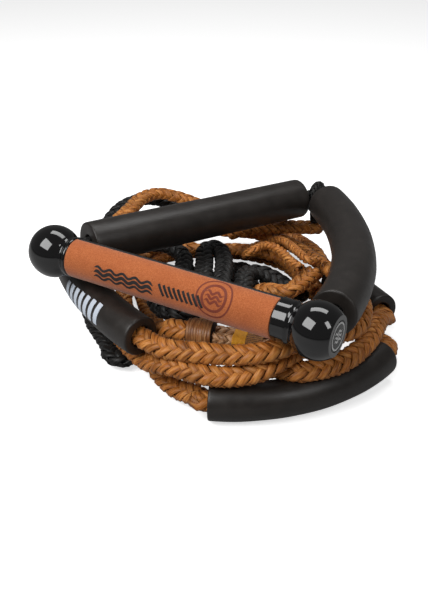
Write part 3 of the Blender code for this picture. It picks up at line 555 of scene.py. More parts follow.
def rounded(points, radius, steps):
    """Rounds the corners of an open profile."""
    points = [np.array(p, float) for p in points]
    out = [points[0]]
    for before, corner, after in zip(points, points[1:], points[2:]):
        len_in, len_out = np.linalg.norm(before - corner), np.linalg.norm(after - corner)
        k = min(radius, len_in * 0.45, len_out * 0.45)
        start = corner + (before - corner) / max(len_in, 1e-9) * k
        end = corner + (after - corner) / max(len_out, 1e-9) * k
        for j in range(steps + 1):
            t = j / steps
            out.append((1 - t) ** 2 * start + 2 * t * (1 - t) * corner + t * t * end)
    out.append(points[-1])
    return out


def foam(name, node, path, r_out, r_in, body, seed, cols=64):
    """Foam float: bored sleeve with cut ends, its skin a little uneven."""
    path = np.array(path, float)
    run = run_length(path)
    length = run[-1]
    phase = np.random.default_rng(seed + 3).uniform(0, 6.28, 8)
    edge = 1.1
    # (distance along, radius): one end face, the skin, the other end face, the bore
    end = [(0.25, r_in + 0.5), (0.0, r_in + 1.2), (0.05, (r_in + r_out) / 2), (0.0, r_out - 1.6),
           (0.12, r_out - edge * 0.72), (0.42, r_out - edge * 0.32), (0.95, r_out - edge * 0.08),
           (1.7, r_out)]
    count = int(length / 3.2)
    skin = [(1.7 + (length - 3.4) * i / count, r_out) for i in range(1, count)]
    bore = [(length - 1.2 - (length - 2.4) * i / 16, r_in) for i in range(17)]
    profile = np.array(end + skin + [(length - q, r) for q, r in reversed(end)] + bore)
    q, radius = profile[:, 0], profile[:, 1]

    def sample(values):
        return np.stack([np.interp(q, run, values[:, k]) for k in range(3)], -1)

    centre = sample(path)
    tangent = unit(sample(unit(np.gradient(path, axis=0))))
    normal = square_to(UP, tangent)
    across = np.cross(tangent, normal)
    around = ring_angles(cols)
    outer = (radius > (r_in + r_out) / 2)[:, None]
    # (size, wave length along, lobes round)
    uneven = sum(size * np.sin(q / wave_len + phase[2 * k])[:, None]
                 * np.cos(lobes * around + phase[2 * k + 1])[None]
                 for k, (size, wave_len, lobes) in enumerate([(0.16, 23, 1), (0.10, 9, 2), (0.07, 5, 3)]))
    radius = radius[:, None] + np.where(outer, uneven - 0.12, 0)
    points = (centre[:, None] + across[:, None] * (radius * np.cos(around))[..., None]
              + normal[:, None] * (radius * np.sin(around))[..., None])
    build(name, [(points, dict(closed_rows=True), 0)], [FOAM], body, "foam", node)


def thin_solid(place, count, low, high):
    """Rows over the top of a thin mark and back underneath; place(k, height) is one line of
    points, k from -1 to 1 across."""
    across = np.linspace(-1, 1, count)
    return np.stack([place(k, high) for k in across] + [place(k, low) for k in across[::-1]], 1)


def ribbons(name, strips, mapper, low, high, mat, slot):
    """Printed or painted marks on the handle from (points, half width) strips."""
    parts = []
    for line, half_w in strips:
        heading = unit(np.gradient(line, axis=0))
        side = np.stack([-heading[:, 1], heading[:, 0]], -1)
        half_w = np.broadcast_to(half_w, (len(line),))

        def place(k, height):
            u, v = (line + side * half_w[:, None] * k).T
            return mapper(u, v, height)

        parts.append((thin_solid(place, 5, low, high), {}, 0))
    build(name, parts, [mat], "handle", slot, sharp=40)


def ring_mark(name, u, v, radius, half_w, mapper, low, high, mat, slot, squash=1.0):
    """Thin round band on the handle; squash narrows it along u."""
    around = ring_angles(128)

    def place(k, height):
        r = radius + half_w * k
        return mapper(u + r * np.cos(around) * squash, v + r * np.sin(around), height)

    points = thin_solid(place, 4, low, high)
    build(name, [(points, dict(closed_rows=True), 0)], [mat], "handle", slot, sharp=40)


def wave(start, end, v, height, length, half_w, count=60):
    """A wavy strip along u with tapered ends."""
    u = np.linspace(start, end, count)
    taper = np.clip(np.minimum(u - start, end - u) / 2.0, 0.25, 1)
    line = np.stack([u, v + height * np.sin((u - start) / length * 2 * math.pi)], -1)
    return line, half_w * taper


# ------------------------------------------------------------------ materials
BLACK_TO_WHITE = [(0.0, (0, 0, 0)), (1.0, (1, 1, 1))]


def srgb(*channels):
    """sRGB 0..255 to linear."""
    return tuple(c / 12.92 if c <= 0.04045 else ((c + 0.055) / 1.055) ** 2.4
                 for c in (x / 255 for x in channels))


class Mat:
    """A node material, with short helpers to wire it."""

    def __init__(self, name):
        self.mat = bpy.data.materials.new(name)
        self.mat.use_nodes = True
        self.tree = self.mat.node_tree
        self.shader = self.tree.nodes["Principled BSDF"]

    def node(self, kind, **settings):
        n = self.tree.nodes.new(kind)
        for key, value in settings.items():
            setattr(n, key, value)
        return n

    def link(self, a, b):
        self.tree.links.new(a, b)

    def feed(self, socket, value):
        """Sets a socket to a number or colour, or links an output to it."""
        if isinstance(value, tuple):
            socket.default_value = (*value, 1)
        elif isinstance(value, (int, float)):
            socket.default_value = value
        else:
            self.link(value, socket)

    def coords(self, source="Object", scale=(1, 1, 1), offset=(0, 0, 0)):
        c = self.node("ShaderNodeTexCoord")
        m = self.node("ShaderNodeMapping")
        m.inputs["Scale"].default_value = scale
        m.inputs["Location"].default_value = offset
        self.link(c.outputs[source], m.inputs["Vector"])
        return m.outputs["Vector"]

    def noise(self, vec, scale=1.0, detail=3.0, rough=0.55, distortion=0.0):
        n = self.node("ShaderNodeTexNoise")
        n.inputs["Scale"].default_value = scale
        n.inputs["Detail"].default_value = detail
        n.inputs["Roughness"].default_value = rough
        n.inputs["Distortion"].default_value = distortion
        self.link(vec, n.inputs["Vector"])
        return n.outputs["Fac"]

    def bands(self, vec, direction, **inputs):
        n = self.node("ShaderNodeTexWave", wave_type="BANDS", bands_direction=direction)
        for key, value in inputs.items():
            n.inputs[key].default_value = value
        self.link(vec, n.inputs["Vector"])
        return n.outputs["Fac"]

    def ramp(self, fac, stops):
        """Colour ramp from (position, colour) stops."""
        r = self.node("ShaderNodeValToRGB")
        elements = r.color_ramp.elements
        while len(elements) < len(stops):
            elements.new(0.5)
        for element, (position, color) in zip(elements, stops):
            element.position = position
            element.color = (*color, 1)
        self.link(fac, r.inputs["Fac"])
        return r.outputs["Color"]

    def math(self, operation, a, b, clamp=False):
        n = self.node("ShaderNodeMath", operation=operation, use_clamp=clamp)
        self.feed(n.inputs[0], a)
        self.feed(n.inputs[1], b)
        return n.outputs[0]

    def remap(self, x, over, to):
        """Maps the range over to the range to."""
        n = self.node("ShaderNodeMapRange")
        self.link(x, n.inputs["Value"])
        for key, value in zip(("From Min", "From Max", "To Min", "To Max"), (*over, *to)):
            n.inputs[key].default_value = value
        return n.outputs["Result"]

    def mix(self, fac, a, b, mode="MIX"):
        n = self.node("ShaderNodeMix", data_type="RGBA", blend_type=mode)
        self.feed(n.inputs["Factor"], fac)
        for key, value in (("A", a), ("B", b)):
            self.feed(next(i for i in n.inputs if i.name == key and i.type == "RGBA"), value)
        return next(o for o in n.outputs if o.type == "RGBA")

    def bump(self, height, strength, distance, normal=None):
        b = self.node("ShaderNodeBump")
        b.inputs["Strength"].default_value = strength
        b.inputs["Distance"].default_value = distance
        self.link(height, b.inputs["Height"])
        if normal is not None:
            self.link(normal, b.inputs["Normal"])
        return b.outputs["Normal"]

    def done(self, color, rough, normal=None, **inputs):
        self.feed(self.shader.inputs["Base Color"], color)
        self.feed(self.shader.inputs["Roughness"], rough)
        if normal is not None:
            self.link(normal, self.shader.inputs["Normal"])
        for key, value in inputs.items():
            self.shader.inputs[key.replace("_", " ")].default_value = value
        return self.mat


def fibre(name, dark, mid, light, rough=(0.32, 0.6), spec=0.5, tone=0.35, valley=0.30, bump=0.7):
    """Flat plastic fibres laid along each strand, with painted shade in the valleys of the braid and on
    the inner side of each strand.
    """
    m = Mat(name)
    fine = m.noise(m.coords("UV", (16.0, 1.1, 1.0)), rough=0.6, distortion=0.25)
    coarse = m.noise(m.coords("UV", (4.2, 0.55, 1.0), offset=(3.3, 1.7, 0)),
                     detail=2.0, rough=0.5, distortion=0.4)
    wide = m.noise(m.coords("UV", (0.11, 0.22, 1.0)), detail=2.0)
    both = m.math("ADD", m.math("MULTIPLY", fine, 0.55), m.math("MULTIPLY", coarse, 0.45))
    col = m.ramp(both, [(0.30, dark), (0.47, mid), (0.66, light)])
    patch = m.remap(wide, over=(0.35, 0.65), to=(1.0 - tone, 1.0 + tone * 0.45))
    col = m.mix(1.0, col, m.ramp(patch, BLACK_TO_WHITE), "MULTIPLY")
    # painted shade: the lift attribute, low under crossings and on each strand's inner side, darkens the
    # colour down to the valley factor
    lift = m.node("ShaderNodeAttribute", attribute_name="lift").outputs["Fac"]
    shade = m.remap(lift, over=(-1.5, 1.4), to=(valley, 1.0))
    col = m.mix(1.0, col, m.ramp(shade, BLACK_TO_WHITE), "MULTIPLY")
    return m.done(col, m.remap(fine, over=(0.3, 0.7), to=rough),
                  m.bump(both, strength=bump, distance=0.0004),
                  Specular_IOR_Level=spec, Anisotropic=0.35, Sheen_Weight=0.05)


# near-black inside of a braid or whipping, seen between strands and turns; on brown rope this colour is
# painted shade
def core_dark(name, color):
    m = Mat(name)
    n = m.noise(m.coords(scale=(900, 900, 900)), detail=2.0)
    return m.done(m.ramp(n, [(0.3, color), (0.7, tuple(x * 1.6 for x in color))]), 0.8)


def charcoal_foam(dark=(0.0125, 0.0098, 0.0080), light=(0.0205, 0.0162, 0.0135)):
    m = Mat("charcoal_foam")
    vec = m.coords()
    pores = m.noise(vec, scale=1900.0, detail=2.0, rough=0.6)
    mottle = m.noise(vec, scale=90.0, detail=4.0, rough=0.6)
    scuff = m.noise(vec, scale=320.0, detail=5.0, rough=0.7, distortion=0.8)
    col = m.mix(m.remap(mottle, over=(0.3, 0.7), to=(0.0, 1.0)), dark, light)
    col = m.mix(m.remap(scuff, over=(0.62, 0.8), to=(0.0, 0.25)), col,
                tuple(x * 3.2 for x in light))
    pitted = m.bump(pores, strength=0.25, distance=0.00012)
    return m.done(col, m.remap(mottle, over=(0.3, 0.7), to=(0.35, 0.46)),
                  m.bump(mottle, strength=0.15, distance=0.0006, normal=pitted),
                  Specular_IOR_Level=0.46, Sheen_Weight=0.03, Sheen_Roughness=0.5)


def gloss_black():
    m = Mat("gloss_black")
    ripple = m.noise(m.coords(), scale=60.0, detail=2.0)
    scratch = m.noise(m.coords(scale=(300, 300, 2600)), rough=0.7)
    rough = m.math("ADD", m.remap(ripple, over=(0.3, 0.7), to=(0.045, 0.09)),
                   m.remap(scratch, over=(0.66, 0.8), to=(0.0, 0.08)), clamp=True)
    return m.done((0.0042, 0.0040, 0.0042), rough, m.bump(ripple, strength=0.04, distance=0.0008),
                  Specular_IOR_Level=0.55, Coat_Weight=0.4, Coat_Roughness=0.04)


def tan_suede():
    m = Mat("tan_suede")
    vec = m.coords()
    nap = m.noise(vec, scale=1500.0, detail=4.0, rough=0.7)
    grain = m.noise(vec, scale=420.0, rough=0.6, distortion=0.4)
    cloud = m.noise(vec, scale=55.0, detail=4.0, rough=0.6)
    col = m.ramp(nap, [(0.30, srgb(136, 68, 34)), (0.5, srgb(178, 98, 53)),
                       (0.72, srgb(204, 126, 76))])
    col = m.mix(m.remap(cloud, over=(0.35, 0.7), to=(0.0, 0.38)), col, srgb(160, 82, 44))
    col = m.mix(m.remap(grain, over=(0.60, 0.75), to=(0.0, 0.35)), col, srgb(140, 66, 34))
    napped = m.bump(nap, strength=0.35, distance=0.00018)
    return m.done(col, m.remap(grain, over=(0.3, 0.7), to=(0.78, 0.95)),
                  m.bump(grain, strength=0.25, distance=0.0003, normal=napped),
                  Specular_IOR_Level=0.22, Sheen_Weight=0.3, Sheen_Roughness=0.45)


def simple(name, color, rough, scale, vary=0.35, bump=0.15, **inputs):
    """Moulded or coated surface: mottled colour, uneven roughness and fine texture."""
    m = Mat(name)
    vec = m.coords()
    fine = m.noise(vec, scale=scale, detail=4.0, rough=0.65)
    broad = m.noise(vec, scale=scale * 0.08)
    dark = tuple(c * (1 - vary) for c in color)
    light = tuple(min(1, c * (1 + vary)) for c in color)
    col = m.ramp(fine, [(0.3, dark), (0.5, color), (0.7, light)])
    return m.done(col, m.remap(broad, over=(0.3, 0.7), to=(rough * 0.85, min(1, rough * 1.15))),
                  m.bump(fine, strength=bump, distance=0.0001), **inputs)


def yellow_tape():
    """Narrow woven tape: two crossed thread waves in the colour and in the relief."""
    m = Mat("yellow_tape")
    vec = m.coords("UV")
    threads = [m.bands(vec, direction, Scale=5.0, Distortion=0.6, Detail=1.0) for direction in "XY"]
    weave = m.math("MULTIPLY", *threads)
    fuzz = m.noise(vec, scale=9.0, detail=4.0)
    both = m.math("ADD", m.math("MULTIPLY", weave, 0.5), m.math("MULTIPLY", fuzz, 0.5))
    col = m.ramp(both, [(0.15, srgb(190, 115, 5)), (0.4, srgb(228, 158, 12)),
                        (0.75, srgb(245, 185, 40))])
    return m.done(col, 0.65, m.bump(weave, strength=0.5, distance=0.00025), Sheen_Weight=0.1)


def printed_label():
    """Brown label with rows of fine unreadable marks."""
    m = Mat("printed_label")
    vec = m.coords("UV")
    rows = m.bands(vec, "X", Scale=1.55)
    marks = m.noise(m.coords("UV", (22.0, 60.0, 1.0)), detail=0.0)
    print_mask = m.math("MULTIPLY", m.math("GREATER_THAN", rows, 0.45),
                        m.math("GREATER_THAN", marks, 0.47))
    cloth = m.noise(vec, scale=14.0, detail=4.0)
    base = m.ramp(cloth, [(0.3, srgb(120, 72, 28)), (0.6, srgb(176, 118, 52)),
                          (0.8, srgb(200, 144, 78))])
    return m.done(m.mix(print_mask, base, (0.010, 0.008, 0.006)), 0.7,
                  m.bump(cloth, strength=0.3, distance=0.0002))


BROWN = fibre("brown_fibre", dark=(0.080, 0.020, 0.003), mid=(0.41, 0.130, 0.018),
              light=(0.74, 0.33, 0.085), spec=0.30)
# painted shade: the brown braid's inside, seen between the strands and the whipping's turns, is coloured
# near black
BROWN_SHADED_CORE = core_dark("brown_shaded_core", (0.012, 0.005, 0.002))
BLACK = fibre("black_fibre", dark=(0.002, 0.002, 0.002), mid=(0.006, 0.0055, 0.005),
              light=(0.026, 0.024, 0.022), rough=(0.34, 0.62), tone=0.3, valley=0.25, bump=0.6,
              spec=0.30)
BLACK_CORE = core_dark("black_core", (0.002, 0.002, 0.002))
TWINE = fibre("twine_fibre", dark=(0.07, 0.021, 0.005), mid=(0.28, 0.10, 0.026),
              light=(0.58, 0.30, 0.12), valley=0.4)
LOOP = fibre("loop_fibre", dark=(0.12, 0.040, 0.011), mid=(0.46, 0.21, 0.08),
             light=(0.78, 0.50, 0.28), valley=0.4)
FOAM = charcoal_foam()
GLOSS = gloss_black()
SUEDE = tan_suede()
SEAM = simple("seam_rubber", (0.012, 0.011, 0.011), rough=0.5, scale=1400.0)
simple("seam_line", srgb(92, 66, 50), rough=0.8, scale=1600.0)     # spare, on no piece
INK = simple("black_ink", (0.012, 0.010, 0.010), rough=0.8, scale=1500.0, vary=0.5)
STAMP = simple("brown_stamp", srgb(118, 52, 34), rough=0.85, scale=1500.0, vary=0.25)
WHITE = simple("pale_print", srgb(205, 214, 226), rough=0.55, scale=1700.0, vary=0.10)
PAINT = simple("badge_paint", srgb(205, 205, 205), rough=0.4, scale=1500.0, vary=0.08)
BADGE = simple("badge_black", (0.006, 0.006, 0.006), rough=0.2, scale=700.0, vary=0.3, bump=0.03)
ALLOY = simple("anodised_alloy", (0.55, 0.56, 0.58), rough=0.32, scale=1800.0, vary=0.06,
               bump=0.05, Metallic=1.0)
YELLOW = yellow_tape()
LABEL = printed_label()

# material list and slot of each kind of rope
BROWN_ROPE = dict(mats=[BROWN, BROWN_SHADED_CORE], slot="brown_braid")
BLACK_ROPE = dict(mats=[BLACK, BLACK_CORE], slot="black_braid")


# ------------------------------------------------------------------ the line
def coil_lean(path):
    """Flat face up, turned to the front where the line climbs over the front float."""
    x, y = path[:, 0], path[:, 1]
    front = np.clip((-y - 30) / 70, 0, 1)
    front = front * front * (3 - 2 * front) * 0.85
    right = np.clip((x - 60) / 60, 0, 1) * np.clip(1 - np.abs(y) / 120, 0, 1)
    return np.stack([0.30 * right, -(front + 0.35 * right), np.ones_like(x)], -1)


FRONT_LEAN = (0.0, -0.25, 1.0)      # nearly up, tipped a little to the front
LINE = dict(half_w=6.0, half_h=2.75, pitch=33.0, strand_w=2.85, strand_t=1.12, weave=1.0)

# piece, route, rope, lean, seed, dome
for node, route, rope, lean, seed, dome in [
        ("line_brown_1", BROWN_ROUTE_1, BROWN_ROPE, coil_lean, 1, 0.0),
        ("line_brown_2", BROWN_ROUTE_2, BROWN_ROPE, coil_lean, 2, 0.0),
        ("line_black", BLACK_ROUTE, BLACK_ROPE, FRONT_LEAN, 3, 5.0),
        ("line_black_under", BLACK_UNDER_ROUTE, BLACK_ROPE, FRONT_LEAN, 9, 4.0),
        ("line_lead", LEAD_ROUTE, BROWN_ROPE, FRONT_LEAN, 4, 4.0)]:
    braid(node + "_braid", node, route, lean=lean, seed=seed, dome=dome, **rope, **LINE)
braid("brown_eye_braid", "brown_eye_splice", EYE_ROUTE, half_w=2.7, half_h=2.2, pitch=19.0,
      strand_w=1.55, strand_t=0.75, weave=0.6, step=1.2, lean=FRONT_LEAN, seed=5, **BROWN_ROPE)
braid("end_loop_braid", "end_loop", END_LOOP_ROUTE, half_w=2.7, half_h=2.9, pitch=24.0,
      strand_w=1.75, strand_t=0.75, weave=0.55, mats=[LOOP, BROWN_SHADED_CORE], slot="brown_braid",
      step=0.9, seed=6, wander=1.4)


def bridle_route():
    """Bridle rope's middle, running on into the seats of both balls."""
    start = LEFT_SEAT - SEAT_RUN
    points = [on_left_leg(start + (LEG_LEN - start) * i / 12) for i in range(13)]
    bend_start = math.pi - LEAN
    for i in range(1, 9):
        angle = bend_start + (ARC_BEND - bend_start) * i / 8
        points.append((APEX_X + APEX_BEND_R * math.cos(angle),
                       BEND_Y + APEX_BEND_R * math.sin(angle), 0.0))
    end = RIGHT_EXIT_ANGLE - SEAT_RUN / RIGHT_LEG_R
    points += [on_right_leg(ARC_BEND + (end - ARC_BEND) * i / 22) for i in range(1, 23)]
    return from_bridle(points)


braid("bridle_rope_braid", "bridle_rope", bridle_route(), half_w=4.1, half_h=4.1, pitch=24.0,
      strand_w=2.15, strand_t=0.85, weave=0.75, body="bridle", step=1.2, seed=7, dome=SEAT_RUN,
      shift=0.0, power=2.0, **BLACK_ROPE)

# eye round the apex, its two ends hanging side by side
apex = from_bridle([APEX_X, APEX_Y, 0.0])
ACROSS = np.array([-math.sin(yaw), math.cos(yaw), 0.0])     # level, square to the bar
eye_route = [apex + ACROSS - UP * EYE_FOOT]
for i in range(33):
    angle = math.radians(-90 + 9 + (360 - 18) * i / 32)
    eye_route.append(apex + EYE_R * (math.cos(angle) * ACROSS + math.sin(angle) * UP))
eye_route.append(apex - ACROSS - UP * EYE_FOOT)
braid("apex_eye_braid", "apex_eye", eye_route, half_w=2.75, half_h=2.75, pitch=17.0, strand_w=1.5,
      strand_t=0.62, weave=0.55, step=1.0, seed=8, shift=0.0, power=2.0, lean=BAR_X, **BLACK_ROPE)


def neck_shape(u):
    return 5.4 - 0.7 * u, 5.4 - 0.7 * u


def barrel_shape(u):
    swell = 0.88 + 0.12 * np.sin(math.pi * np.clip(u, 0, 1)) ** 0.6
    return WHIP_W / 2 * swell, WHIP_H / 2 * swell


neck_foot = NECK_FOOT_Z + SHIFT[2] - apex[2]
whipping("apex_neck_whipping", apex + UP * (NECK_TOP + neck_foot) / 2, axis=-UP, across=ACROSS,
         normal=BAR_X, length=NECK_TOP - neck_foot, shape=neck_shape, turns=7, half_w=0.95,
         half_t=0.45, seed=21, **BLACK_ROPE)
whip_axis = unit(np.array(WHIP_DIR))
whip_across = np.cross(UP, whip_axis)
whip_centre = np.array(WHIP_AT) + SHIFT
whipping("whipping_turns", whip_centre, axis=whip_axis, across=whip_across, normal=UP,
         length=WHIP_LEN, shape=barrel_shape, turns=9, half_w=1.25, half_t=0.62,
         mats=[TWINE, BROWN_SHADED_CORE], slot="twine", seed=5, node="whipping_wrap")


def tag(name, node, start, end, half_w, half_h, mat, slot):
    """Flat sleeve of tape round the two legs, pinched a little between them."""
    thickness = 0.75
    x, y = superellipse(ring_angles(72), 0.62)
    y = y * (1 - 0.10 * np.exp(-(x * 3) ** 2))
    k = np.arange(13)
    k = np.concatenate([k, k[::-1]])
    along = start + (end - start) * k / 12
    swell = 1 + 0.012 * np.sin(k * 1.7)
    inset = np.repeat([0.0, thickness], 13)
    points = (whip_centre + whip_axis * along[:, None, None]
              + whip_across * (x * ((half_w - inset) * swell)[:, None])[..., None]
              + UP * (y * ((half_h - inset) * swell)[:, None])[..., None])
    build(name, [(points, dict(closed_rows=True), 0)], [mat], "coil", slot, node, sharp=50)


tag("tag_band_tape", "tag_band", BAND_FROM, BAND_TO, half_w=10.4, half_h=5.9, mat=YELLOW,
    slot="tag_yellow")
tag("tag_label_tape", "tag_label", BAND_TO + GAP, LABEL_TO, half_w=10.3, half_h=5.8, mat=LABEL,
    slot="tag_print")

# ------------------------------------------------------------------ floats
left_path = [on_left_leg(run) for run in
             np.linspace(LEFT_FLOAT_TO_BALL, LEG_LEN - LEFT_FLOAT_TO_BEND, 30)]
right_path = [on_right_leg(angle) for angle in
              np.linspace(ARC_BALL + RIGHT_FLOAT_TO_BALL / RIGHT_LEG_R,
                          ARC_BEND - RIGHT_FLOAT_TO_BEND / RIGHT_LEG_R, 60)]
for side, path, seed in (("left", left_path, 31), ("right", right_path, 32)):
    foam(f"{side}_bridle_foam", f"{side}_bridle_float", from_bridle(path), BRIDLE_FLOAT_R,
         BRIDLE_BORE_R, "float_" + side, seed)

# name, piece, arc, radius, body, seed
for name, node, arc, radius, body, seed in [
        ("bottom_foam", "bottom_float", BOTTOM, BOTTOM_FLOAT_R, "float_bottom", 33),
        ("right_line_foam", "right_line_float", RIGHT, LINE_FLOAT_R, "float_line_right", 34),
        ("striped_foam", "striped_float", STRIPED, LINE_FLOAT_R, "float_striped", 35)]:
    path = np.array([on_arc(arc, a) for a in np.linspace(arc["start"], arc["end"], 60)]) + SHIFT
    foam(name, node, path, radius, LINE_BORE_R, body, seed)


def on_striped(along, degrees, height):
    """On the striped float's skin: mm from its front end, degrees up from its outer side."""
    angle = np.radians(STRIPED["start"]) - along / STRIPED["radius"]
    outward = np.stack([np.cos(angle), np.sin(angle), np.zeros_like(angle)], -1)
    centre = np.array([*STRIPED["centre"], STRIPED["z"]]) + STRIPED["radius"] * outward + SHIFT
    round_it = np.radians(degrees)[..., None]
    return centre + (LINE_FLOAT_R + height) * (outward * np.cos(round_it) + UP * np.sin(round_it))


def float_stripes():
    half_w = np.full(26, STRIPE_W / 2)
    half_w[[0, -1]] *= 0.86
    parts = []
    for i in range(STRIPE_COUNT):
        degrees = np.linspace(STRIPE_LOW - i * LOW_DRIFT, STRIPE_HIGH - i * HIGH_DRIFT, 26)

        def place(k, height):
            return on_striped(STRIPE_AT + i * STRIPE_STEP + half_w * k, degrees, height)

        parts.append((thin_solid(place, 5, low=-0.12, high=0.14), {}, 0))
    build("float_stripes", parts, [WHITE], "float_striped", "foam", sharp=40)


float_stripes()

# ------------------------------------------------------------------ grip
GRIP_FROM = -HALF_SPAN - COLLAR_END_LEFT + GAP
GRIP_TO = HALF_SPAN + COLLAR_END_RIGHT - GAP
SEAM_MID = 180.0 - SEAM_AT      # degrees from the front over the top


def on_bar(x, degrees, radius):
    """x mm along the bar, degrees from the front (0) over the top (90)."""
    x, angle, radius = np.broadcast_arrays(x, np.radians(degrees), radius)
    return from_bridle(np.stack([x, -radius * np.cos(angle), radius * np.sin(angle)], -1))


def wrap(name, node, start, end, r_in, r_out, mat, slot, seed, cols, edge, ridge=None):
    """Sheet bent round the bar from start to end degrees, with soft edges; ridge(t) raises
    its outside."""
    phase = np.random.default_rng(seed).uniform(0, 6.28, 6)
    thick = r_out - r_in
    soft = math.degrees(edge / r_out)
    outer = [(start, r_in + thick * 0.55), (start + soft * 0.3, r_out - thick * 0.16)]
    outer += [(start + soft + (end - start - 2 * soft) * i / cols, r_out) for i in range(cols + 1)]
    outer += [(end - soft * 0.3, r_out - thick * 0.16), (end, r_in + thick * 0.55)]
    inner = [(end + (start - end) * i / 40, r_in) for i in range(41)]
    angle, radius = np.array(outer + inner).T
    outside = (radius > (r_in + r_out) / 2).astype(float)
    if ridge:
        radius = radius + outside * ridge((angle - start) / (end - start))
    x0, x1 = GRIP_FROM, GRIP_TO
    x = np.concatenate([[x0, x0 + 0.15, x0 + 0.5], np.linspace(x0 + 1.5, x1 - 1.5, 90),
                        [x1 - 0.5, x1 - 0.15, x1]])[:, None]
    drop = np.concatenate([[0.45, 0.16, 0.02], np.zeros(90), [0.02, 0.16, 0.45]])[:, None]
    turn = np.radians(angle)
    uneven = (np.sin(x / 11 + phase[0]) * np.cos(turn * 2 + phase[1])
              + 0.7 * np.sin(x / 4.7 + phase[2]) * np.sin(turn * 3 + phase[3]) - 1.4)
    radius = radius - outside * drop * thick * 0.7 + outside * 0.05 * uneven
    points = on_bar(x, angle[None, :], radius)
    build(name, [(points, {}, 0)], [mat], "handle", slot, node, sharp=60)


def seam_ridge(t):
    """High at both edges, with a fine groove along the middle."""
    return 0.35 * np.abs(np.cos(t * math.pi)) ** 0.6 - 0.12 * np.exp(-((t - 0.5) / 0.07) ** 2)


SEAM_MARGIN = 1.6               # degrees, between the strip and the leather
wrap("suede_wrap", "leather_wrap", SEAM_MID + SEAM_OPEN / 2 - 360, SEAM_MID - SEAM_OPEN / 2,
     SLEEVE_R + GAP, GRIP_R, SUEDE, "suede", seed=41, cols=120, edge=0.5)
wrap("seam_binding", "seam_strip", SEAM_MID - SEAM_OPEN / 2 + SEAM_MARGIN,
     SEAM_MID + SEAM_OPEN / 2 - SEAM_MARGIN, SLEEVE_R + GAP, GRIP_R - 0.4, SEAM, "backing",
     seed=42, cols=40, edge=0.3, ridge=seam_ridge)


def on_leather(u, v, height):
    """u mm along the bar from its middle, v mm round from the marks' middle line."""
    return on_bar(u, MARK_DEG + np.degrees(v / GRIP_R), GRIP_R + height - 0.05)


# a row of slanted bars, bands of waves, and a double ring with waves in it
bars = []
for i in range(BAR_COUNT):
    middle = BARS_AT + i * BARS_STEP
    bars.append((np.stack([np.linspace(middle - 2.4, middle + 2.4, 8),
                           np.linspace(BARS_V + 3.9, BARS_V - 3.9, 8)], -1), 0.98))
bands = [wave(WAVES_FROM, WAVES_TO, v, height=1.15, length=11.0, half_w=half_w)
         for v, half_w in ((3.5, 0.9), (0.2, 1.25), (-3.2, 0.9))]
ring_waves = [wave(RING_AT - 6.8, RING_AT + 6.8, RING_V + v, height=1.1, length=6.8, half_w=0.85)
              for v in (3.2, 0.0, -3.2)]
ink = dict(mapper=on_leather, low=0.0, high=0.16, mat=INK, slot="suede")
stamp = dict(mapper=on_leather, low=0.0, high=0.14, mat=STAMP, slot="suede")
ribbons("printed_bars", bars, **ink)
ribbons("printed_waves", bands, **ink)
for name, radius, half_w in (("printed_ring", 14.0, 0.6), ("printed_ring_inner", 9.4, 1.0)):
    ring_mark(name, RING_AT, RING_V, radius, half_w, squash=RING_SQUASH, **stamp)
ribbons("printed_ring_waves", ring_waves, **stamp)


# ------------------------------------------------------------------ ball ends
def knob_profile(collar_end):
    """Ball with a badge recess in its flat, a neck, a collar and a socket for the tube."""
    flat_r = math.sqrt(BALL_R ** 2 - BALL_FLAT ** 2)
    neck_z = -math.sqrt(BALL_R ** 2 - (NECK_R + 0.4) ** 2)
    recess_z = BALL_FLAT - BADGE_T - GAP
    face = [(0.0, recess_z), (3.0, recess_z), (7.0, recess_z), (BADGE_R + GAP, recess_z),
            (BADGE_R + GAP, BALL_FLAT), (flat_r - 0.35, BALL_FLAT)]
    top, low = math.asin(BALL_FLAT / BALL_R), math.asin(neck_z / BALL_R)
    ball = [(BALL_R * math.cos(a), BALL_R * math.sin(a))
            for a in np.linspace(top - 0.012, low + 0.01, 46)]
    tail = [(NECK_R + 0.05, neck_z - 0.8), (NECK_R, neck_z - 1.4), (NECK_R + 0.1, neck_z - 2.0),
            (COLLAR_R - 0.45, neck_z - 3.1), (COLLAR_R, neck_z - 4.0)]
    if collar_end < neck_z - 6.5:       # only the longer collar has room for these
        tail += [(COLLAR_R, z) for z in np.linspace(neck_z - 5.0, collar_end + 1.2, 6)]
    socket_r, socket_z = TUBE_R + GAP, -TUBE_END + GAP
    tail += [(COLLAR_R, collar_end + 0.7), (COLLAR_R - 0.6, collar_end), (socket_r, collar_end),
             (socket_r, collar_end + 1), (socket_r, socket_z), (8.8, socket_z), (4.0, socket_z),
             (0.0, socket_z)]
    return rounded(face, 0.25, 3)[:-1] + ball + rounded([ball[-1]] + tail, 0.8, 5)[1:]


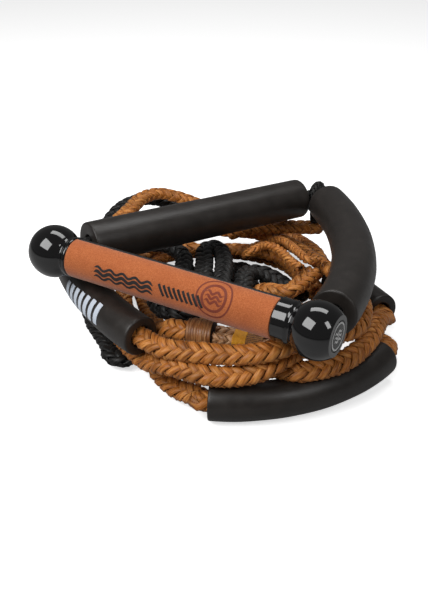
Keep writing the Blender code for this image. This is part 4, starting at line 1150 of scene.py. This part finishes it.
def cut_mouth(obj, centre, exit_angle, exit_distance):
    """Cuts the flared rope mouth and its round seat out of a ball."""
    flare, seat_r, depth = math.radians(27.0), LEG_R + 0.6, 12.0
    profile = [(0.0, exit_distance + depth),
               ((seat_r + depth * math.sin(flare)) / math.cos(flare), exit_distance + depth),
               (seat_r / math.cos(flare), exit_distance)]
    profile += [(seat_r * math.cos(t), exit_distance - seat_r * math.sin(t))
                for t in np.radians(np.linspace(12, 80, 10))]
    profile += [(0.0, exit_distance - seat_r)]
    rope_dir = math.cos(exit_angle) * BAR_Y + math.sin(exit_angle) * BAR_X
    side_dir = math.cos(exit_angle) * BAR_X - math.sin(exit_angle) * BAR_Y
    points = placed(lathe(profile, 64), centre, side_dir, -BAR_Z, rope_dir)
    verts, faces, _ = grid(points, cap=False)
    me = bpy.data.meshes.new("mouth")
    me.from_pydata((verts * MM).tolist(), [], faces[0].tolist())
    cutter = bpy.data.objects.new("mouth_cutter", me)
    bpy.context.scene.collection.objects.link(cutter)
    for piece in (cutter, obj):
        weld(piece.data)
    mod = obj.modifiers.new("mouth", "BOOLEAN")
    mod.operation, mod.solver, mod.object = "DIFFERENCE", "EXACT", cutter
    bpy.context.view_layer.update()
    depsgraph = bpy.context.evaluated_depsgraph_get()
    baked = bpy.data.meshes.new_from_object(obj.evaluated_get(depsgraph))
    obj.modifiers.clear()
    obj.data = baked
    bpy.data.objects.remove(cutter, do_unlink=True)
    obj.data.shade_smooth()
    obj.data.set_sharp_from_angle(angle=math.radians(35))


def ball_end(side, out, collar_end, exit_angle, exit_distance):
    """One end of the bar; out is +1 or -1 along the bar, the exit is where the rope leaves."""
    name = side + "_ball_end"
    centre = from_bridle([out * HALF_SPAN, 0.0, 0.0])

    def turned(profile, cols):
        points = placed(lathe(profile, cols), centre, BAR_Z, BAR_Y * out, BAR_X * out)
        return [(points, dict(cap=False), 0)]

    ball = build(name, turned(knob_profile(collar_end), 112), [GLOSS], "handle", "gloss_black",
                 side + "_knob", sharp=35)
    cut_mouth(ball, centre, exit_angle, exit_distance)

    # badge flush with the flat, with a painted ring and plain waves
    base_z = BALL_FLAT - BADGE_T
    outline = [(0.0, BALL_FLAT), (BADGE_R, BALL_FLAT), (BADGE_R, base_z), (0.0, base_z)]
    badge = build(name + "_badge", turned(rounded(outline, 0.35, 4), 96), [BADGE], "handle",
                  "badge", side + "_end_badge", sharp=35)
    weld(badge.data)

    def on_face(u, v, height):
        points = np.stack([u, v, np.full_like(u, BALL_FLAT + height)], -1)
        return placed(points, centre, BAR_Y * out, BAR_Z, BAR_X * out)

    paint = dict(mapper=on_face, low=-0.05, high=0.10, mat=PAINT, slot="badge")
    ring_mark(name + "_ring", 0, 0, radius=9.1, half_w=0.55, **paint)
    ribbons(name + "_waves", [wave(-5.6, 5.6, v, height=0.9, length=5.6, half_w=0.62)
                              for v in (2.9, 0.0, -2.9)], **paint)


exit_x = on_right_leg(RIGHT_EXIT_ANGLE)[0] - HALF_SPAN
ball_end("left", -1.0, COLLAR_END_LEFT, LEAN, LEFT_SEAT)
ball_end("right", 1.0, COLLAR_END_RIGHT, math.atan2(exit_x, ROLL_Y), math.hypot(exit_x, ROLL_Y))

# CAD solids that stay: tube and sleeve inside the grip, knots in the balls
for node, mat in (("handle_tube", ALLOY), ("grip_sleeve", SEAM),
                  ("left_rope_knot", BLACK), ("right_rope_knot", BLACK)):
    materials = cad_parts[node].data.materials
    materials.clear()
    materials.append(mat)

# ------------------------------------------------------------------ stage, light, camera (metres)
FLOOR_HALF, FLOOR_Z = 7.0, -0.0008
FLOOR_GLOW = 0.62           # emission of the floor as the camera sees it
WORLD_FILL = 0.12           # fill light; the camera sees plain white instead
CAMERA_AT = (0.0, -625.0, 372.0)    # mm, before the shift
CAMERA_TILT = 60.0          # degrees up from looking straight down
# name, place, aim, width, height, watts
LIGHTS = [
    ("softbox", (-0.60, -0.50, 0.82), (0.03, -0.08, 0.05), 0.80, 0.62, 9.6),
    ("top", (0.12, 0.34, 1.1), (0.0, 0.0, 0.0), 1.0, 0.36, 5.6),
    ("right", (0.60, -0.70, 0.84), (0.05, -0.05, 0.05), 0.28, 0.46, 2.4),
]


def pale_floor():
    """Seen straight on, an evenly lit white sweep, darker only where the coil shades it;
    it throws less light back up."""
    m = Mat("pale_floor")
    paper = m.noise(m.coords(), scale=260.0, rough=0.6)
    m.done(m.ramp(paper, [(0.3, (0.36, 0.36, 0.36)), (0.7, (0.38, 0.38, 0.38))]), 0.85,
           Specular_IOR_Level=0.1)
    white = m.node("ShaderNodeBsdfDiffuse")
    white.inputs["Color"].default_value = (0.85, 0.85, 0.85, 1)
    glow = m.node("ShaderNodeEmission")
    glow.inputs["Color"].default_value = (1, 1, 1, 1)
    glow.inputs["Strength"].default_value = FLOOR_GLOW
    rays = m.node("ShaderNodeLightPath")
    pick = m.node("ShaderNodeMixShader")
    bright = m.node("ShaderNodeAddShader")
    output = next(n for n in m.tree.nodes if n.type == "OUTPUT_MATERIAL")
    m.link(white.outputs[0], bright.inputs[0])
    m.link(glow.outputs[0], bright.inputs[1])
    m.link(rays.outputs["Is Camera Ray"], pick.inputs[0])
    m.link(m.shader.outputs[0], pick.inputs[1])
    m.link(bright.outputs[0], pick.inputs[2])
    m.link(pick.outputs[0], output.inputs["Surface"])
    return m.mat


def add_floor():
    me = bpy.data.meshes.new("floor")
    corners = [(x * FLOOR_HALF, y * FLOOR_HALF, FLOOR_Z)
               for x, y in ((-1, -1), (1, -1), (1, 1), (-1, 1))]
    me.from_pydata(corners, [], [(0, 1, 2, 3)])
    me.materials.append(pale_floor())
    floor = bpy.data.objects.new("floor", me)
    bpy.context.scene.collection.objects.link(floor)


def add_world():
    """Seen straight on the studio is white, as fill light it is dim."""
    world = bpy.data.worlds.new("studio")
    bpy.context.scene.world = world
    world.use_nodes = True
    nodes, links = world.node_tree.nodes, world.node_tree.links
    fill = nodes["Background"]
    backdrop = nodes.new("ShaderNodeBackground")
    for background, strength in ((fill, WORLD_FILL), (backdrop, 1.0)):
        background.inputs["Color"].default_value = (1, 1, 1, 1)
        background.inputs["Strength"].default_value = strength
    rays = nodes.new("ShaderNodeLightPath")
    pick = nodes.new("ShaderNodeMixShader")
    output = next(n for n in nodes if n.type == "OUTPUT_WORLD")
    links.new(rays.outputs["Is Camera Ray"], pick.inputs[0])
    links.new(fill.outputs[0], pick.inputs[1])
    links.new(backdrop.outputs[0], pick.inputs[2])
    links.new(pick.outputs[0], output.inputs["Surface"])


def add_light(name, place, aim, width, height, watts):
    data = bpy.data.lights.new(name, "AREA")
    data.shape = "RECTANGLE"
    data.size, data.size_y, data.energy = width, height, watts
    light = bpy.data.objects.new(name, data)
    bpy.context.scene.collection.objects.link(light)
    light.location = Vector(place)
    light.rotation_euler = (Vector(aim) - Vector(place)).to_track_quat("-Z", "Y").to_euler()


def add_camera():
    data = bpy.data.cameras.new("camera")
    camera = bpy.data.objects.new("camera", data)
    bpy.context.scene.collection.objects.link(camera)
    camera.location = Vector(tuple(np.array(CAMERA_AT) + SHIFT)) * MM
    camera.rotation_euler = (math.radians(CAMERA_TILT), 0.0, 0.0)
    data.sensor_fit = "AUTO"
    data.sensor_width = 36.0
    data.lens = 51.6
    data.clip_start, data.clip_end = 0.01, 50.0
    bpy.context.scene.camera = camera


add_floor()
add_world()
for light in LIGHTS:
    add_light(*light)
add_camera()
bpy.context.scene.view_settings.view_transform = "Standard"
bpy.context.scene.view_settings.look = "None"
